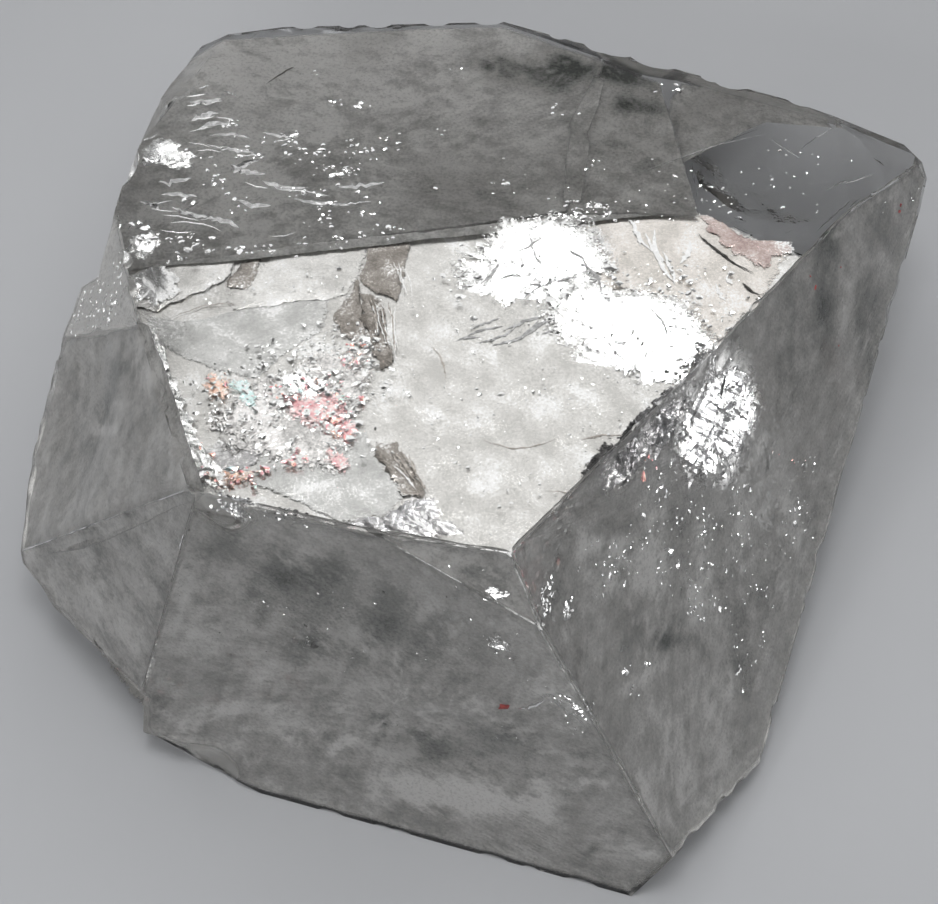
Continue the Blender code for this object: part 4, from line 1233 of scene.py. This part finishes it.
needles("streaks_wedge", level(0.95, [
    ((-5.6, 2.9), (-5.2, 0.5)), ((-5.4, 2.8), (-4.8, -0.2)), ((-5.1, 2.9), (-4.6, -0.6)),
    ((-4.9, 2.6), (-4.4, -1.0)), ((-4.6, 2.5), (-4.3, -1.4)), ((-4.4, 2.5), (-4.2, -0.7)),
    ((-4.6, 5.7), (-4.0, 2.9)), ((-4.3, 5.7), (-3.8, 3.2)), ((-4.0, 5.2), (-3.6, 2.9)),
    ((-4.4, -8.2), (-3.3, -9.8)),
]), bright, 0.07, flashing((-5.0, 1.0, 1.4), "top"), bow=0.06, seed=73)
needles("streaks_wedge_dark", level(0.95, [
    ((-5.7, 3.1), (-5.3, 0.3)), ((-5.2, 3.1), (-4.7, -0.7)), ((-4.8, 2.9), (-4.4, -0.8)),
    ((-4.6, -7.3), (-3.6, -9.1)), ((-4.4, -7.2), (-3.3, -9.4)), ((-4.1, -7.1), (-2.9, -9.7)),
    ((-3.7, -7.3), (-2.7, -10.0)),
]), brown_skin, 0.10, UP, bow=0.05, seed=74)
needles("streaks_tip", level(3.3, [
    ((-3.7, -11.9), (-2.8, -12.7)), ((-3.4, -11.7), (-2.4, -13.0)), ((-3.9, -12.3), (-3.2, -12.6)),
    ((-3.0, -11.6), (-2.7, -12.2)), ((-4.2, -12.6), (-2.2, -13.3)),
]), bright, 0.16, flashing((-3.2, -12.4, 3.3), "top"), bow=0.12, seed=83)
needles("feather", level(0.4, [
    ((-1.0, 0.5), (0.9, 1.3)), ((-0.6, 0.1), (1.6, 1.5)), ((0.2, -0.1), (2.6, 1.8)),
    ((0.9, 1.0), (2.9, 2.1)), ((1.6, 0.3), (3.6, 2.3)), ((2.6, 0.7), (4.8, 2.6)),
    ((-0.8, 1.0), (0.7, 1.8)), ((3.4, 1.0), (5.0, 2.1)), ((-1.5, 0.2), (-0.3, 0.5)),
]), grey_skin, 0.16, UP, bow=0.15, seed=80)
needles("cracks_pane", [
    ((-15.4, 1.5, 0.6), (-12.0, 2.6, 0.6)), ((-6.5, -0.3, 0.6), (-9.6, -3.9, 0.6)),
    ((-9.6, -3.9, 0.6), (-10.7, -2.2, 0.6)), ((-15.9, 0.6, 0.6), (-15.6, -2.0, 0.6)),
    ((-3.8, -10.9, 0.4), (-6.3, -11.8, 0.4)), ((-5.5, -6.8, 0.4), (-4.8, -7.9, 0.4)),
    ((-4.8, -7.9, 0.4), (-4.0, -10.6, 0.4)), ((-0.3, -6.4, 0.4), (3.4, -6.2, 0.4)),
    ((2.6, -9.6, 0.4), (5.7, -9.5, 0.4)), ((4.3, -6.4, 0.4), (7.2, -6.3, 0.4)),
    ((-2.7, -0.1, 0.4), (-2.0, -2.5, 0.4)),
], brown_skin, 0.09, UP, bow=0.2, seed=77)
needles("cracks_dark", [
    ((10.6, 8.1, 0.6), (13.3, 5.1, 0.6)), ((12.6, 4.5, 0.6), (13.5, 3.5, 0.6)),
    ((-11.0, 17.0, 9.2), (-8.8, 19.4, 8.6)),
], dark, 0.10, UP, bow=0.10, seed=75)
needles("lines_clear", [
    ((7.9, 9.8, 11.3), (13.8, 13.6, 10.0)), ((8.7, 10.2, 11.1), (14.1, 13.1, 10.1)),
    ((16.6, 8.4, 11.5), (18.9, 10.1, 10.9)), ((15.6, 11.7, 10.5), (17.5, 13.7, 9.9)),
    ((14.3, 12.6, 10.3), (15.6, 11.0, 10.7)), ((15.8, 4.9, 12.6), (18.0, 7.9, 11.6)),
], grey_skin, 0.08, UP, bow=0.05, seed=78)
needles("lines_front", [
    ((2.4, -20.0, 13.3), (3.0, -20.2, 13.7)), ((2.9, -20.1, 13.6), (3.7, -20.5, 12.7)),
    ((3.6, -20.4, 12.8), (4.4, -20.8, 12.0)), ((1.5, -19.8, 12.0), (2.6, -20.1, 13.2)),
], bright, 0.14, flashing((3.4, -19.5, 12.9), "front"), bow=0.08, seed=79)
streaks("glint_line_tip", (-4.9, -13.0, 3.4), (-1.7, -13.9, 3.4), bright, 22, 1.0, 0.13,
    (3.3, -0.8, 0.0), 0.14, normal=flashing((-3.0, -13.2, 3.4), "top"), seed=81)

# The studio.
make_camera()
soft_light("overhead", SOFT_PLACE, (0.0, 0.0, 0.0), SOFT_SIZE, SOFT_SIZE, 1.0)
soft_light("key", KEY_PLACE, (0.0, 0.0, 0.0), KEY_SIZE, KEY_SIZE, 12.0)
soft_light("fill", FILL_PLACE, (0.0, 0.0, 8.0), *FILL_SIZE, 3.4)
make_floor()
make_world(0.16)

scene = bpy.context.scene
scene.view_settings.view_transform = "Standard"
scene.cycles.max_bounces = 8
scene.cycles.transmission_bounces = 7
scene.cycles.glossy_bounces = 5
scene.cycles.diffuse_bounces = 2
scene.cycles.transparent_max_bounces = 12
scene.cycles.use_denoising = True
scene.cycles.adaptive_threshold = 0.05
